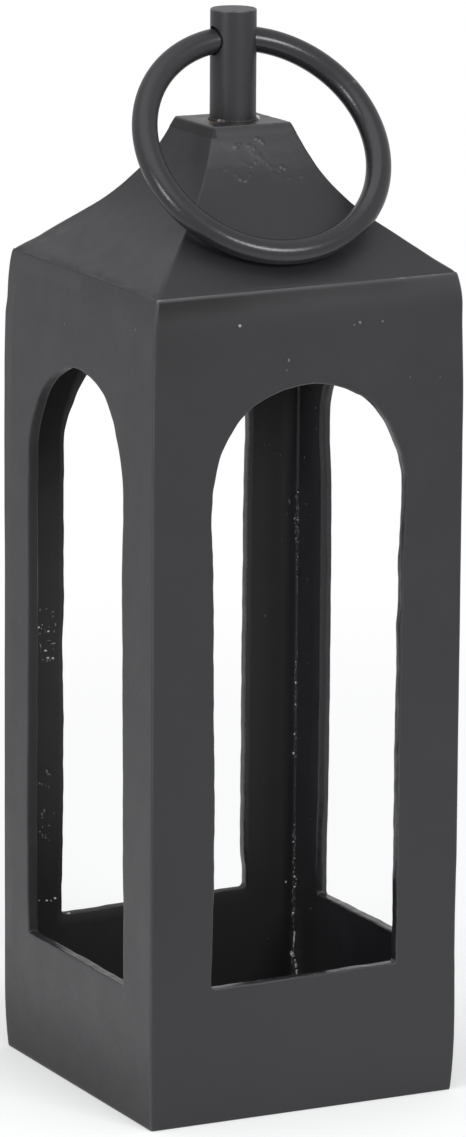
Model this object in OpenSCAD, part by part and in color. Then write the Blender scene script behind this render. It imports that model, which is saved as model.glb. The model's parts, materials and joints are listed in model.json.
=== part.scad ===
// Candle lantern: a tall square body of four welded plates, each with an arched window,
// under a hipped roof that sweeps up to a flat cap. A stub of round bar stands on the cap,
// and a carrying ring hangs through its cross-hole.
// The origin is at the centre of the base. +Z is up and the front wall faces -Y.

/* [Body] */
// Width across the walls at the base
base_w = 125; // [120:0.5:130]
// Width across the walls at mid height, where they are widest
belly_w = 127; // [122:0.5:132]
// Width across the walls at the brow, just under the eave
brow_w = 124.6; // [120:0.2:128]
// Width across the walls at the eave
eave_w = 122; // [116:0.5:126]
// Height of the walls from the base to the eave
body_h = 309.4; // [290:0.1:340]
// Thickness of the wall plates
wall_t = 4; // [2.5:0.1:5]
// Height over which the walls swell from the base to the belly
foot_h = 25; // [15:1:40]
// Height over which the walls lean in from the belly to the eave
shoulder_h = 67; // [40:1:90]
// Height of the brow, over which the walls turn in to the eave
brow_h = 12; // [6:0.5:25]

/* [Windows] */
// Width of each arched window
window_w = 78; // [66:1:88]
// Height of the sill above the base
sill_h = 51; // [40:1:70]
// Height of the top of the arch above the base
arch_top = 274; // [240:1:280]

/* [Floor] */
// Thickness of the floor plate
floor_t = 4; // [2.5:0.1:6]
// Height of the floor plate's underside above the base
floor_up = 3; // [2:0.5:10]
// Gap left all round the floor plate for fitting it
floor_play = 0.3; // [0.1:0.1:1]

/* [Roof] */
// Height of the cap's top face above the eave
roof_h = 53.6; // [50:0.1:58]
// Thickness of the roof plates
roof_t = 4; // [2.5:0.1:5]
// Slope of the lower skirt of the roof, in degrees above level
skirt_slope = 40; // [38:0.2:42]
// Slope of the neck of the roof, in degrees above level
neck_slope = 67; // [64:0.1:72]
// Radius of the hollow sweep between skirt and neck
sweep_r = 78; // [30:1:85]
// Width of the flat cap plate's top face
cap_w = 32; // [28:0.5:36]
// Thickness of the cap plate
cap_t = 4; // [2.5:0.1:6]

/* [Post] */
// Diameter of the post
post_d = 17.2; // [16:0.1:20]
// Height of the post above the cap plate
post_h = 41; // [38:0.5:50]
// Height of the cross-hole's axis above the cap plate
hole_up = 29.3; // [26:0.1:32]
// Bevel round the top rim of the post
post_bevel = 0.8; // [0.2:0.1:2]
// Turn of the cross-hole from square with the front wall, in degrees
hole_turn = -3.5; // [-8:0.5:8]

/* [Ring] */
// Diameter of the ring at the middle of its bar
ring_d = 90; // [84:1:94]
// Diameter of the ring's bar
ring_bar = 9.4; // [8:0.1:10]
// Clearance between the ring and what it passes or lies on
ring_gap = 0.25; // [0.2:0.05:0.6]

/* [Welds] */
// Leg of the seams in the four inner corners of the body
corner_leg = 3.2; // [2:0.1:5]
// How far the corner seams stop short of the floor plate and of the brow
corner_short = 4; // [3:0.5:20]
// Leg of the seam between the walls and the roof
eave_leg = 1.8; // [1:0.1:2]
// Leg of the tacks under the floor plate
tack_leg = 2; // [1:0.1:2]
// Length of each tack under the floor plate
tack_l = 24; // [10:1:40]
// Leg of the fillet round the foot of the post
foot_leg = 1.6; // [1:0.1:3]
// How far the weld that closes the ring stands proud of its bar
ring_weld_up = 0.25; // [0.2:0.05:0.5]
// Length of the ring's weld, in degrees round the ring
ring_weld_span = 5; // [3:0.5:10]
// Place of the ring's weld, in degrees up from the right-hand side
ring_weld_at = 28; // [15:1:45]

/* [Hidden] */
$fn = 64;
// Flat steps that follow the swell at the foot, the lean at the shoulder and the brow of a wall
bow_steps = 5;
// Flat steps that follow the sweep of the roof
sweep_steps = 7;
// Shortest step along a corner seam
least_step = 0.5;

// Half widths, from the lantern's upright axis
belly_r = belly_w / 2;
eave_r = eave_w / 2;
cap_r = cap_w / 2;
// Long enough to cut right across the lantern
across = 2 * belly_w;

// Where the window's straight jambs end and its arch begins
spring_h = arch_top - window_w / 2;
shoulder_z = body_h - shoulder_h;
brow_z = body_h - brow_h;

// Corner where the skirt and the neck would meet without the sweep, above the eave
knee_h = (eave_r - cap_r - roof_h / tan(neck_slope)) / (1 / tan(skirt_slope) - 1 / tan(neck_slope));
knee_r = eave_r - knee_h / tan(skirt_slope);
knee_turn = neck_slope - skirt_slope;
knee_tilt = (neck_slope + skirt_slope) / 2;
// Height above the eave where the roof plates stop under the cap plate
neck_h = roof_h - cap_t;
neck_r = cap_r + cap_t / tan(neck_slope);
// Radius of the sweep, which has to end on the skirt and on the neck, and its centre, which is
// outside the roof
sweep_room = min(knee_h / sin(skirt_slope), (neck_h - knee_h) / sin(neck_slope));
sweep = min(sweep_r, sweep_room / tan(knee_turn / 2));
sweep_far = sweep / cos(knee_turn / 2);
sweep_x = knee_r + sweep_far * sin(knee_tilt);
sweep_y = knee_h + sweep_far * cos(knee_tilt);

// The ring's bar is bent, so the part of it inside the post is thicker than the bar as seen
// from the hole's mouth. The hole takes that and the clearance, and is centred on it.
cap_z = body_h + roof_h;
hole_z = cap_z + hole_up;
ring_r = ring_d / 2;
bar_r = ring_bar / 2;
post_r = post_d / 2;
bar_near = sqrt(pow(ring_r - bar_r, 2) - pow(post_r, 2));
bar_far = ring_r + bar_r;
hole_r = (bar_far - bar_near) / 2 + ring_gap;
hole_to_ring = (bar_far + bar_near) / 2;

// The ring lies back until its bar is ring_gap away from the front skirt of the roof.
// hole_over is the height of the hole's middle over the skirt's plane, less that distance.
// The ring's own lowest point over that plane then gives a quadratic in ring_drop, which is
// how steeply the ring's hanging direction falls towards the skirt.
hole_over = cos(skirt_slope) * (hole_z - body_h) - sin(skirt_slope) * eave_r - bar_r - ring_gap;
turn_share = sin(skirt_slope) * sin(hole_turn);
spare_2 = pow(ring_r * turn_share, 2) - pow(hole_over, 2);
reach_2 = pow(ring_r, 2) - pow(hole_to_ring, 2);
ring_lever = hole_over * hole_to_ring;
ring_drop = spare_2 / (ring_lever + sqrt(pow(ring_lever, 2) - reach_2 * spare_2));
skirt_across = sin(skirt_slope) * cos(hole_turn);
skirt_share = norm([cos(skirt_slope), skirt_across]);
// Angle of the resting ring from hanging straight down
ring_lean = acos(-ring_drop / skirt_share) - atan2(skirt_across, cos(skirt_slope));

// Outer half width of a wall at height z: it swells over foot_h, stands straight, then leans
// in over shoulder_h and turns in further over brow_h
function wall_r(z) =
    belly_r
    - (belly_w - base_w) / 2 * pow(max(0, 1 - z / foot_h), 2)
    - (belly_w - brow_w) / 2 * pow(max(0, (z - shoulder_z) / shoulder_h), 2)
    - (brow_w - eave_w) / 2 * pow(max(0, (z - brow_z) / brow_h), 2);

// Heights at which the outline of a wall has a point
wall_heights = [
    for (i = [0 : bow_steps]) foot_h * i / bow_steps,
    for (i = [0 : bow_steps]) shoulder_z + (brow_z - shoulder_z) * i / bow_steps,
    for (i = [1 : bow_steps]) brow_z + brow_h * i / bow_steps,
];

// Outline of one face of a wall plate, inset from the outside, from the base to the eave
function wall_line(inset) = [for (z = wall_heights) [wall_r(z) - inset, z]];

// Outline of one face of a roof plate, inset square to the outside, from the eave to the cap
function roof_line(inset) = [
    [eave_r - inset / sin(skirt_slope), 0],
    for (i = [0 : sweep_steps])
        let (a = skirt_slope + knee_turn * i / sweep_steps)
        [sweep_x - (sweep + inset) * sin(a), sweep_y - (sweep + inset) * cos(a)],
    [neck_r - inset / sin(neck_slope), neck_h],
];

// Half width of the floor plate, which has to pass the walls at both its faces
floor_top = floor_up + floor_t;
floor_r = min(wall_r(floor_up), wall_r(floor_top)) - wall_t - floor_play;

function backwards(line) = [for (i = [len(line) - 1 : -1 : 0]) line[i]];

// A section drawn as distance from the axis and height, carried along the front wall
module along_front(length = across) {
    rotate([90, 0, -90])
        linear_extrude(length, center = true)
            children();
}

// The quarter of the lantern that belongs to the front wall, cut at 45 degrees at both ends
module front_quarter() {
    translate([0, 0, -across])
        linear_extrude(4 * across)
            polygon([[0, 0], [-across, -across], [across, -across]]);
}

// A section mitred into a plate for side 0 to 3, counted from the front wall to the right
module side_plate(side) {
    rotate([0, 0, 90 * side])
        intersection() {
            along_front() children();
            front_quarter();
        }
}

module wall_section() {
    polygon(concat(wall_line(0), backwards(wall_line(wall_t))));
}

module roof_section() {
    translate([0, body_h])
        polygon(concat(roof_line(0), backwards(roof_line(roof_t))));
}

module window_outline() {
    translate([-window_w / 2, sill_h])
        square([window_w, spring_h - sill_h]);
    translate([0, spring_h])
        circle(d = window_w);
}

module wall(side) {
    difference() {
        side_plate(side) wall_section();
        rotate([0, 0, 90 * side])
            translate([0, -belly_r / 2, 0])
                rotate([90, 0, 0])
                    linear_extrude(belly_r)
                        window_outline();
    }
}

// The space inside the walls, between the lantern's axis and the front wall
module cavity_section() {
    polygon(concat(wall_line(wall_t), [[0, body_h], [0, 0]]));
}

// Everything further out along a diagonal of the lantern than the face of a corner seam. The
// face bends halfway between the bends of the walls, so that no more than three faces meet.
module corner_section() {
    from = floor_top + corner_short;
    to = brow_z - corner_short;
    halfway = [for (i = [1 : len(wall_heights) - 1]) (wall_heights[i - 1] + wall_heights[i]) / 2];
    between = [for (z = halfway) if (z > from + least_step && z < to - least_step) z];
    heights = concat([from], between, [to]);
    polygon(concat(
        [for (z = heights) [(2 * (wall_r(z) - wall_t) - corner_leg) / sqrt(2), z]],
        [[across, to], [across, from]]
    ));
}

// A seam up an inner corner, counted from front left to the right. It follows both walls.
module corner_weld(side) {
    rotate([0, 0, 90 * side])
        intersection() {
            along_front() cavity_section();
            rotate([0, 0, -90]) along_front() cavity_section();
            rotate([0, 0, -45]) along_front() corner_section();
        }
}

// The ring and its weld are drawn flat, round the middle of the ring, and placed by this
module ring_place() {
    translate([0, 0, hole_z])
        rotate([-ring_lean, 0, 0] + [0, 0, hole_turn])
            translate([0, 0, -hole_to_ring])
                rotate([90, 0, 0])
                    children();
}

module front_wall() {
    color("#45464a") wall(0);
}

module right_wall() {
    color("#45464a") wall(1);
}

module back_wall() {
    color("#45464a") wall(2);
}

module left_wall() {
    color("#45464a") wall(3);
}

module floor_plate() {
    color("#3c3d40")
        translate([-floor_r, -floor_r, floor_up])
            cube([2 * floor_r, 2 * floor_r, floor_t]);
}

module roof_front() {
    color("#4b4c50") side_plate(0) roof_section();
}

module roof_right() {
    color("#4b4c50") side_plate(1) roof_section();
}

module roof_back() {
    color("#4b4c50") side_plate(2) roof_section();
}

module roof_left() {
    color("#4b4c50") side_plate(3) roof_section();
}

// The cap's edges carry on the slope of the neck
module cap_plate() {
    color("#56575b")
        intersection() {
            along_front() cap_section();
            rotate([0, 0, 90]) along_front() cap_section();
        }
}

module cap_section() {
    translate([0, body_h])
        polygon([[-neck_r, neck_h], [neck_r, neck_h], [cap_r, roof_h], [-cap_r, roof_h]]);
}

module hanging_post() {
    color("#434448")
        difference() {
            translate([0, 0, cap_z])
                rotate_extrude()
                    polygon([
                        [0, 0], [post_r, 0], [post_r, post_h - post_bevel],
                        [post_r - post_bevel, post_h], [0, post_h],
                    ]);
            translate([0, 0, hole_z])
                rotate([0, 90, hole_turn])
                    cylinder(h = 2 * post_d, r = hole_r, center = true);
        }
}

module carrying_ring() {
    color("#4a4b4f")
        ring_place()
            rotate_extrude($fn = 128)
                translate([ring_r, 0])
                    circle(r = bar_r);
}

module corner_weld_front_left() {
    color("#2e2e30") corner_weld(0);
}

module corner_weld_front_right() {
    color("#2e2e30") corner_weld(1);
}

module corner_weld_back_right() {
    color("#2e2e30") corner_weld(2);
}

module corner_weld_back_left() {
    color("#2e2e30") corner_weld(3);
}

// A bead in the angle between a plate's underside and a wall. It laps the plate by leg, from
// the plate's edge or the wall's face at distance edge.
module bead_section(edge, underside, leg) {
    high = wall_r(underside) - wall_t;
    low = wall_r(underside - leg) - wall_t;
    difference() {
        polygon([
            [edge - leg, underside], [low, underside - leg],
            [low + wall_t / 2, underside - leg], [high + wall_t / 2, underside],
        ]);
        wall_section();
    }
}

// One bead all round, under the roof plates
module eave_weld() {
    color("#2e2e30")
        for (side = [0 : 3])
            side_plate(side) bead_section(eave_r - wall_t, body_h, eave_leg);
}

// One tack at the middle of each side, under the floor plate
module floor_tacks() {
    color("#2e2e30")
        for (side = [0 : 3])
            rotate([0, 0, 90 * side])
                along_front(tack_l) bead_section(floor_r, floor_up, tack_leg);
}

module post_weld() {
    color("#4a4038")
        translate([0, 0, cap_z])
            rotate_extrude()
                polygon([[post_r, 0], [post_r + foot_leg, 0], [post_r, foot_leg]]);
}

// A slight swelling where the two ends of the ring's bar meet
module ring_weld() {
    color("#55565a")
        ring_place()
            rotate([0, 0, ring_weld_at - ring_weld_span / 2])
                rotate_extrude(angle = ring_weld_span, $fn = 128)
                    translate([ring_r, 0])
                        difference() {
                            circle(r = bar_r + ring_weld_up);
                            circle(r = bar_r);
                        }
}

front_wall();
right_wall();
back_wall();
left_wall();
floor_plate();
roof_front();
roof_right();
roof_back();
roof_left();
cap_plate();
hanging_post();
carrying_ring();
corner_weld_front_left();
corner_weld_front_right();
corner_weld_back_right();
corner_weld_back_left();
eave_weld();
floor_tacks();
post_weld();
ring_weld();
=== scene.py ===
"""Dresses the candle lantern: hand-finished plates, roof, post, ring and welds, with their coat.

Sizes are in metres, in the lantern's own frame: the origin is at the centre of the base, +Z is up
and the front wall faces -Y.
"""

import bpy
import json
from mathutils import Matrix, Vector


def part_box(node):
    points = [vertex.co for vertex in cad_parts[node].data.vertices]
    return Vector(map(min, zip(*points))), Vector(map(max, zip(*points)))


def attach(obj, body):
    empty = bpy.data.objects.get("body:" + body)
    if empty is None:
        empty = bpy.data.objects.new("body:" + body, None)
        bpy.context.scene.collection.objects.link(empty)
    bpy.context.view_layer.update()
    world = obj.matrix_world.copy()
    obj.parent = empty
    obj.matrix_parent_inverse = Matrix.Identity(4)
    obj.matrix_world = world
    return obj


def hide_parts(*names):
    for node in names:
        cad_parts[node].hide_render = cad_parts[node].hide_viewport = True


bl_info = {
    "name": "Candle Lantern",
    "version": (1, 0, 0),
    "blender": (4, 5, 0),
    "location": "View3D > Sidebar > Lantern",
    "description": "A tall square candle lantern of blackened metal with a swinging carrying ring",
    "category": "Add Mesh",
}

import json
import math

import bmesh
import bpy
import numpy as np
from bpy.props import FloatProperty, FloatVectorProperty, PointerProperty
from mathutils import Matrix, Vector

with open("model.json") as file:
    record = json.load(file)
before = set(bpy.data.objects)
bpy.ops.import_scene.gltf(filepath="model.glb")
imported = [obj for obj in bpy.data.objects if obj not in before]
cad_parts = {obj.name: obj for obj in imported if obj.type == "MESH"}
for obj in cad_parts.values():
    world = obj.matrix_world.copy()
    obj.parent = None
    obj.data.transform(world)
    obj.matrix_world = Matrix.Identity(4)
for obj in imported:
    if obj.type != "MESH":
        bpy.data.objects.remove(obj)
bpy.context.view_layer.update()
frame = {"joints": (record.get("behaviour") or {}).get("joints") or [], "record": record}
MM = 0.001
SIDES = ("front", "right", "back", "left")
CORNERS = ("front_left", "front_right", "back_right", "back_left")
CORNER_SIGNS = ((-1, -1), (1, -1), (1, 1), (-1, 1))  # which way each corner lies along x and y
JOIN = 2e-6  # points nearer than this are one point
SLIVER = 1e-7  # edges shorter than this go
HAIR = 1e-9  # a length that makes no difference

# Seeds of what is uneven or strewn; to most of them each side or corner adds its own number
SEEDS = {
    "wall_broad": 7, "wall_small": 17, "corner": 40, "window": 90, "scuff": 60, "jamb": 33, "bow": 70,
    "inner_face": 51, "roof_broad": 23, "roof_small": 29, "hip": 140, "hip_wear": 77, "eave_place": 38,
    "eave_depth": 37, "cap": 5, "floor": 6, "post": 8, "ring": 3, "ring_bar": 4, "corner_drops": 200,
    "corner_snake": 210, "drops": 31, "spatter": 12,
}


def corner_of(node, high):
    """Lowest or highest corner of a node of the model."""
    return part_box(node)[1 if high else 0]


# ---------------------------------------------------------------- sizes and colours


def length(label, description, default):
    """A size in metres."""
    return FloatProperty(
        name=label, description=description, default=default, subtype="DISTANCE", unit="LENGTH", precision=5
    )


def angle(label, description, degrees):
    """An angle, told in degrees."""
    return FloatProperty(name=label, description=description, default=math.radians(degrees), subtype="ANGLE")


def share(label, description, default):
    """A share from 0 to 1."""
    return FloatProperty(
        name=label, description=description, default=default, min=0.0, max=1.0, subtype="FACTOR"
    )


def number(label, description, default, unit="NONE", lowest=0.0):
    """A number that is not below its lowest."""
    return FloatProperty(name=label, description=description, default=default, min=lowest, unit=unit)


def colour(label, description, default):
    """A colour, as the share of light that it gives back."""
    return FloatVectorProperty(
        name=label, description=description, default=default, subtype="COLOR", min=0.0, max=1.0
    )


class LanternSizes(bpy.types.PropertyGroup):
    """Sizes of the lantern's pieces."""

    base: length("Base", "Width across the walls at the base", 0.125)
    belly: length("Belly", "Width across the walls at mid height", 2 * corner_of("front_wall", True).x)
    brow: length("Brow", "Width across the walls just under the eave", 0.1246)
    eave: length("Eave", "Width across the walls at the eave", 2 * corner_of("roof_front", True).x)
    body: length("Body height", "Height of the walls", corner_of("front_wall", True).z)
    wall: length("Wall plate", "Thickness of the wall plates", 0.004)
    foot: length("Foot", "Height over which the walls swell from the base", 0.025)
    shoulder: length("Shoulder", "Height over which the walls lean in to the eave", 0.067)
    brow_height: length("Brow height", "Height over which the walls turn in to the eave", 0.012)
    window: length("Window", "Width of each window", 0.078)
    sill: length("Sill", "Height of the sill above the base", 0.051)
    arch: length("Arch", "Height of the top of the arch above the base", 0.274)
    roof: length("Roof plate", "Thickness of the roof plates", 0.004)
    skirt: angle("Skirt slope", "Slope of the lower skirt of the roof above level", 40)
    neck: angle("Neck slope", "Slope of the neck of the roof above level", 67)
    sweep: length("Sweep", "Radius of the hollow sweep between skirt and neck", 0.078)
    arris: length("Arris", "Rounding of the upright corners", 0.0008)
    lip: length("Lip", "Rounding of the window's outer edges", 0.0006)
    post: length("Post", "Diameter of the post", 2 * corner_of("hanging_post", True).x)
    hole: length("Post hole", "Diameter of the cross-hole", 0.010828)
    rim: length("Post rim", "Rounding of the post's top rim", 0.0007)
    ring: length("Ring", "Diameter of the ring at the middle of its bar", 0.090)
    bar: length("Ring bar", "Diameter of the ring's bar", 0.0094)
    bead: length("Seam", "Leg of the seams in the inner corners", 0.0032)


class LanternFinish(bpy.types.PropertyGroup):
    """Colours and roughness of the lantern's coat."""

    coat: colour("Coat", "The blackened coat", (0.0134, 0.0128, 0.0158))
    pale: colour("Pale coat", "The coat where it has rubbed thinner", (0.0222, 0.0208, 0.0250))
    # the worn colour also paints light: the front eave's highlight, the far jamb's lit line, the pits' glints
    # and, made far lighter, the glints on the weld beads
    worn_and_painted_light: colour("Worn edge", "Edges rubbed back towards the metal", (0.160, 0.158, 0.164))
    scorch: colour("Scorch", "Brown tint left by the heat of a weld", (0.120, 0.080, 0.048))
    # the soot colour also paints shade: the inner faces, the far jamb, the sills, the left eave and the cap's
    # left bevel darken towards it
    soot_and_painted_shade: colour("Soot", "Hollows that hold dark residue", (0.006, 0.006, 0.0062))
    roughness: share("Roughness", "Roughness of the coat", 0.42)
    mottle: share("Mottling", "How much the coat varies from place to place", 0.35)


class LanternStage(bpy.types.PropertyGroup):
    """Floor, light and camera."""

    ground: colour("Floor", "Colour of the floor and the surroundings", (1.0, 1.0, 1.0))
    tint: colour("Light tint", "Slight tint of the lamps and of what surfaces reflect", (0.958, 0.967, 0.974))
    lift: number("Floor lift", "How much the floor glows, so that it is white", 0.3)
    surround: number("Surround", "Strength of the white surroundings in reflections", 0.775)
    sky: number("Sky", "Strength of the even light", 0.55)
    key: number("Key", "Power of the soft light at the front", 8.6, "POWER")
    side: number("Side", "Power of the soft light at the left", 4.2, "POWER")
    top: number("Top", "Power of the soft light above", 16.0, "POWER")
    azimuth: angle("Azimuth", "Direction of the camera round the lantern, from the front", -26.943)
    elevation: angle("Elevation", "Height of the camera as an angle", 12.118)
    roll: angle("Roll", "Turn of the camera about its own view", 0.379)
    distance: length("Distance", "From the camera to the lantern's axis", 2.3909)
    aim_height: length("Aim height", "Height of the point that the camera looks at", 0.19376)
    aim_across: length("Aim across", "How far right of the axis the camera looks", 0.001174)
    lens: number("Lens", "Focal length of the camera's lens in millimetres", 202.69, "NONE", 1.0)


# ---------------------------------------------------------------- unevenness


def eased(x, places, values):
    """Values at places, joined by smooth steps: between two places the share is 3t^2 - 2t^3."""
    places, values = np.asarray(places, float), np.asarray(values, float)
    x = np.clip(x, places[0], places[-1])
    i = np.clip(np.searchsorted(places, x, side="right") - 1, 0, len(places) - 2)
    t = (x - places[i]) / (places[i + 1] - places[i])
    return values[i] + (values[i + 1] - values[i]) * t * t * (3 - 2 * t)


def waves(x, seed, lengths, heights):
    """Unevenness along a line: a sum of sines of the given wavelengths and heights, with seeded phases."""
    phases = np.random.default_rng(seed).uniform(0, 2 * np.pi, len(lengths))
    x = np.asarray(x, float)[..., None]
    return (np.asarray(heights) * np.sin(2 * np.pi * x / np.asarray(lengths) + phases)).sum(-1)


def dents(u, v, seed, size, depth, count=9):
    """Unevenness over a face: the mean of plane waves in seeded directions, with lengths near size."""
    rng = np.random.default_rng(seed)
    turn, phase = rng.uniform(0, 2 * np.pi, (2, count))
    k = 2 * np.pi / (size * rng.uniform(0.6, 1.6, count))
    u, v = np.asarray(u, float)[..., None], np.asarray(v, float)[..., None]
    return depth * np.sin(k * (u * np.cos(turn) + v * np.sin(turn)) + phase).mean(-1) * 1.8


def mounds(u, v, marks):
    """Small raised marks: a sum of bells, each given as (u, v, half width, half height, how high)."""
    m = np.asarray(marks, float)
    du = (np.asarray(u)[..., None] - m[:, 0]) / m[:, 2]
    dv = (np.asarray(v)[..., None] - m[:, 1]) / m[:, 3]
    return (m[:, 4] * np.exp(-(du**2 + dv**2))).sum(-1)


def ridges(u, v, loops):
    """Raised loops: along a circle (u, v, radius, half width, height, from, to) the height is a bell of
    the distance to the circle, faded in and out at the two angles."""
    total = np.zeros(np.broadcast(u, v).shape)
    for cu, cv, radius, wide, high, start, end in loops:
        far = np.hypot(u - cu, v - cv)
        angle = np.mod(np.arctan2(v - cv, u - cu) - start, 2 * np.pi)
        span = end - start
        fade = np.clip(np.minimum(angle, span - angle) / 0.5, 0, 1)
        total = total + high * fade * np.exp(-(((far - radius) / wide) ** 2))
    return total


# ---------------------------------------------------------------- meshes


class Skin:
    """Grids of points that close into one mesh, with each point's wear and painted light (above 0 edge
    wear and painted highlights, below 0 soot and painted shade) and how smoothly it was filed."""

    def __init__(self):
        self.points, self.wear, self.filed, self.faces, self.count = [], [], [], [], 0

    def grid(self, points, wear=0.0, filed=0.0, around=False, up=False):
        """Adds rows by columns of points, or many such grids at once. around joins the last column to
        the first, up the last row to the first."""
        shape = points.shape[:-1]
        index = self.count + np.arange(math.prod(shape)).reshape(shape)
        if around:
            index = np.concatenate([index, index[..., :1]], -1)
        if up:
            index = np.concatenate([index, index[..., :1, :]], -2)
        low, high = index[..., :-1, :], index[..., 1:, :]
        quads = np.stack([low[..., :-1], low[..., 1:], high[..., 1:], high[..., :-1]], -1)
        self.points.append(points.reshape(-1, 3))
        self.wear.append(np.broadcast_to(wear, shape).ravel())
        self.filed.append(np.broadcast_to(filed, shape).ravel())
        self.faces.append(quads.reshape(-1, 4))
        self.count += math.prod(shape)
        return self


def capped(points):
    """Rows of points with the middle of the first row before them and that of the last row after."""
    first, last = (np.broadcast_to(points[i].mean(0), points[i].shape)[None] for i in (0, -1))
    return np.concatenate([first, points, last])


def joined(name, points, skin, material):
    """Makes the mesh object: joins the grids where they touch and points the faces outwards."""
    mesh = bpy.data.meshes.new(name)
    mesh.from_pydata(points.tolist(), [], np.concatenate(skin.faces).tolist())
    for channel, values in (("wear", skin.wear), ("filed", skin.filed)):
        attribute = mesh.attributes.new(channel, "FLOAT", "POINT")
        attribute.data.foreach_set("value", np.concatenate(values).astype(np.float32))
    work = bmesh.new()
    work.from_mesh(mesh)
    bmesh.ops.remove_doubles(work, verts=work.verts, dist=JOIN)
    bmesh.ops.dissolve_degenerate(work, edges=work.edges, dist=SLIVER)
    bmesh.ops.recalc_face_normals(work, faces=work.faces)
    work.to_mesh(mesh)
    work.free()
    mesh.materials.append(material)
    made = bpy.data.objects.new(name, mesh)
    bpy.context.scene.collection.objects.link(made)
    return made


def piece(name, skin, material, body, slot, *nodes, crease=38):
    """Makes a piece of the lantern: settles its points under the leaning eave, smooths all but creases
    sharper than the given angle, hands it to its body and hides the nodes it stands for."""
    points = settled(np.concatenate(skin.points), bpy.context.scene.lantern_sizes)
    made = joined(name, points, skin, material)
    made.data.shade_smooth()
    made.data.set_sharp_from_angle(angle=math.radians(crease))
    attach(made, body)
    if nodes:
        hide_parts(*nodes)


def spread(count):
    """Shares from 0 to 1, closer together at both ends: half even steps and half a cosine."""
    t = np.linspace(0, 1, count)
    return 0.5 * t + 0.25 * (1 - np.cos(np.pi * t))


def turned(across, up, out, side):
    """Puts points given as across, up and outwards on side 0 (front) to 3 (left) of the lantern."""
    x, y = ((across, -out), (out, across), (-across, out), (-out, -across))[side]
    return np.stack(np.broadcast_arrays(x, y, up), -1)


# ---------------------------------------------------------------- materials


class Socket:
    """An output of a node tree. Arithmetic on it adds Math nodes."""

    def __init__(self, tree, socket):
        self.tree, self.socket = tree, socket

    def maths(self, operation, *values, clamp=False):
        settings = {"operation": operation, "use_clamp": clamp}
        return self.tree.add("ShaderNodeMath", settings, dict(enumerate(values)))

    def __add__(self, other):
        return self.maths("ADD", self, other)

    def __radd__(self, other):
        return self.maths("ADD", other, self)

    def __sub__(self, other):
        return self.maths("SUBTRACT", self, other)

    def __rsub__(self, other):
        return self.maths("SUBTRACT", other, self)

    def __mul__(self, other):
        return self.maths("MULTIPLY", self, other)

    def __rmul__(self, other):
        return self.maths("MULTIPLY", other, self)

    def __truediv__(self, other):
        return self.maths("DIVIDE", self, other)

    def __rtruediv__(self, other):
        return self.maths("DIVIDE", other, self)

    def __pow__(self, other):
        return self.maths("POWER", self, other)

    def clamped(self):
        """The value held between 0 and 1."""
        return self.maths("ADD", self, 0.0, clamp=True)

    def between(self, low, high):
        """0 at low, 1 at high, and a smooth step between."""
        inputs = {"Value": self, "From Min": low, "From Max": high}
        return self.tree.add("ShaderNodeMapRange", {"interpolation_type": "SMOOTHSTEP"}, inputs)


class Tree:
    """The nodes of a material or a world."""

    def __init__(self, owner):
        owner.use_nodes = True
        self.nodes, self.links = owner.node_tree.nodes, owner.node_tree.links
        self.nodes.clear()

    def add(self, kind, settings=None, inputs=None, out=0):
        """Adds a node: its settings first, then the values or links of its inputs. Gives back one of
        its outputs, if it has any."""
        node = self.nodes.new(kind)
        for key, value in (settings or {}).items():
            setattr(node, key, value)
        for key, value in (inputs or {}).items():
            if isinstance(value, Socket):
                self.links.new(value.socket, node.inputs[key])
            else:
                node.inputs[key].default_value = value
        return Socket(self, node.outputs[out]) if len(node.outputs) else node

    def mix(self, share, first, second):
        """Blends two colours by share."""
        return self.add("ShaderNodeMix", {"data_type": "RGBA"}, {0: share, 6: first, 7: second}, out=2)

    def noise(self, place, scale, detail, rough=0.5, distortion=0.0):
        """Noise from 0 to 1, with scale in waves per metre."""
        inputs = {
            "Vector": place, "Scale": scale, "Detail": detail, "Roughness": rough, "Distortion": distortion,
        }
        return self.add("ShaderNodeTexNoise", None, inputs, out="Fac")

    def told(self, name):
        """A value that the mesh gives for each of its points."""
        return self.add("ShaderNodeAttribute", {"attribute_name": name}, out="Fac")

    def ray(self, kind):
        """1 for rays of a kind, and 0 for the rest."""
        return self.add("ShaderNodeLightPath", out=f"Is {kind} Ray")

    def seen(self):
        """1 for rays from the camera, from glossy surfaces and through clear ones, and 0 for the rest."""
        return (self.ray("Camera") + self.ray("Glossy") + self.ray("Transmission")).clamped()

    def near(self, place, point, radius):
        """1 at a point, falling smoothly to 0 at the radius."""
        far = self.add("ShaderNodeVectorMath", {"operation": "DISTANCE"}, {0: place, 1: point}, out="Value")
        return 1 - far.between(0.0, radius)

    def surface(self, base, gloss, height, strength, distance):
        """Ends a material: a bump from a height, the shader and the output."""
        values = {"Strength": strength, "Distance": distance, "Height": height}
        bump = self.add("ShaderNodeBump", None, values, out="Normal")
        values = {
            "Base Color": base, "Roughness": gloss.clamped(), "Normal": bump, "Metallic": 0.0, "IOR": 1.5,
        }
        shader = self.add("ShaderNodeBsdfPrincipled", None, values)
        self.add("ShaderNodeOutputMaterial", None, {"Surface": shader})


def opaque(rgb):
    """A colour with its alpha."""
    return (*rgb[:3], 1.0)


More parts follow.
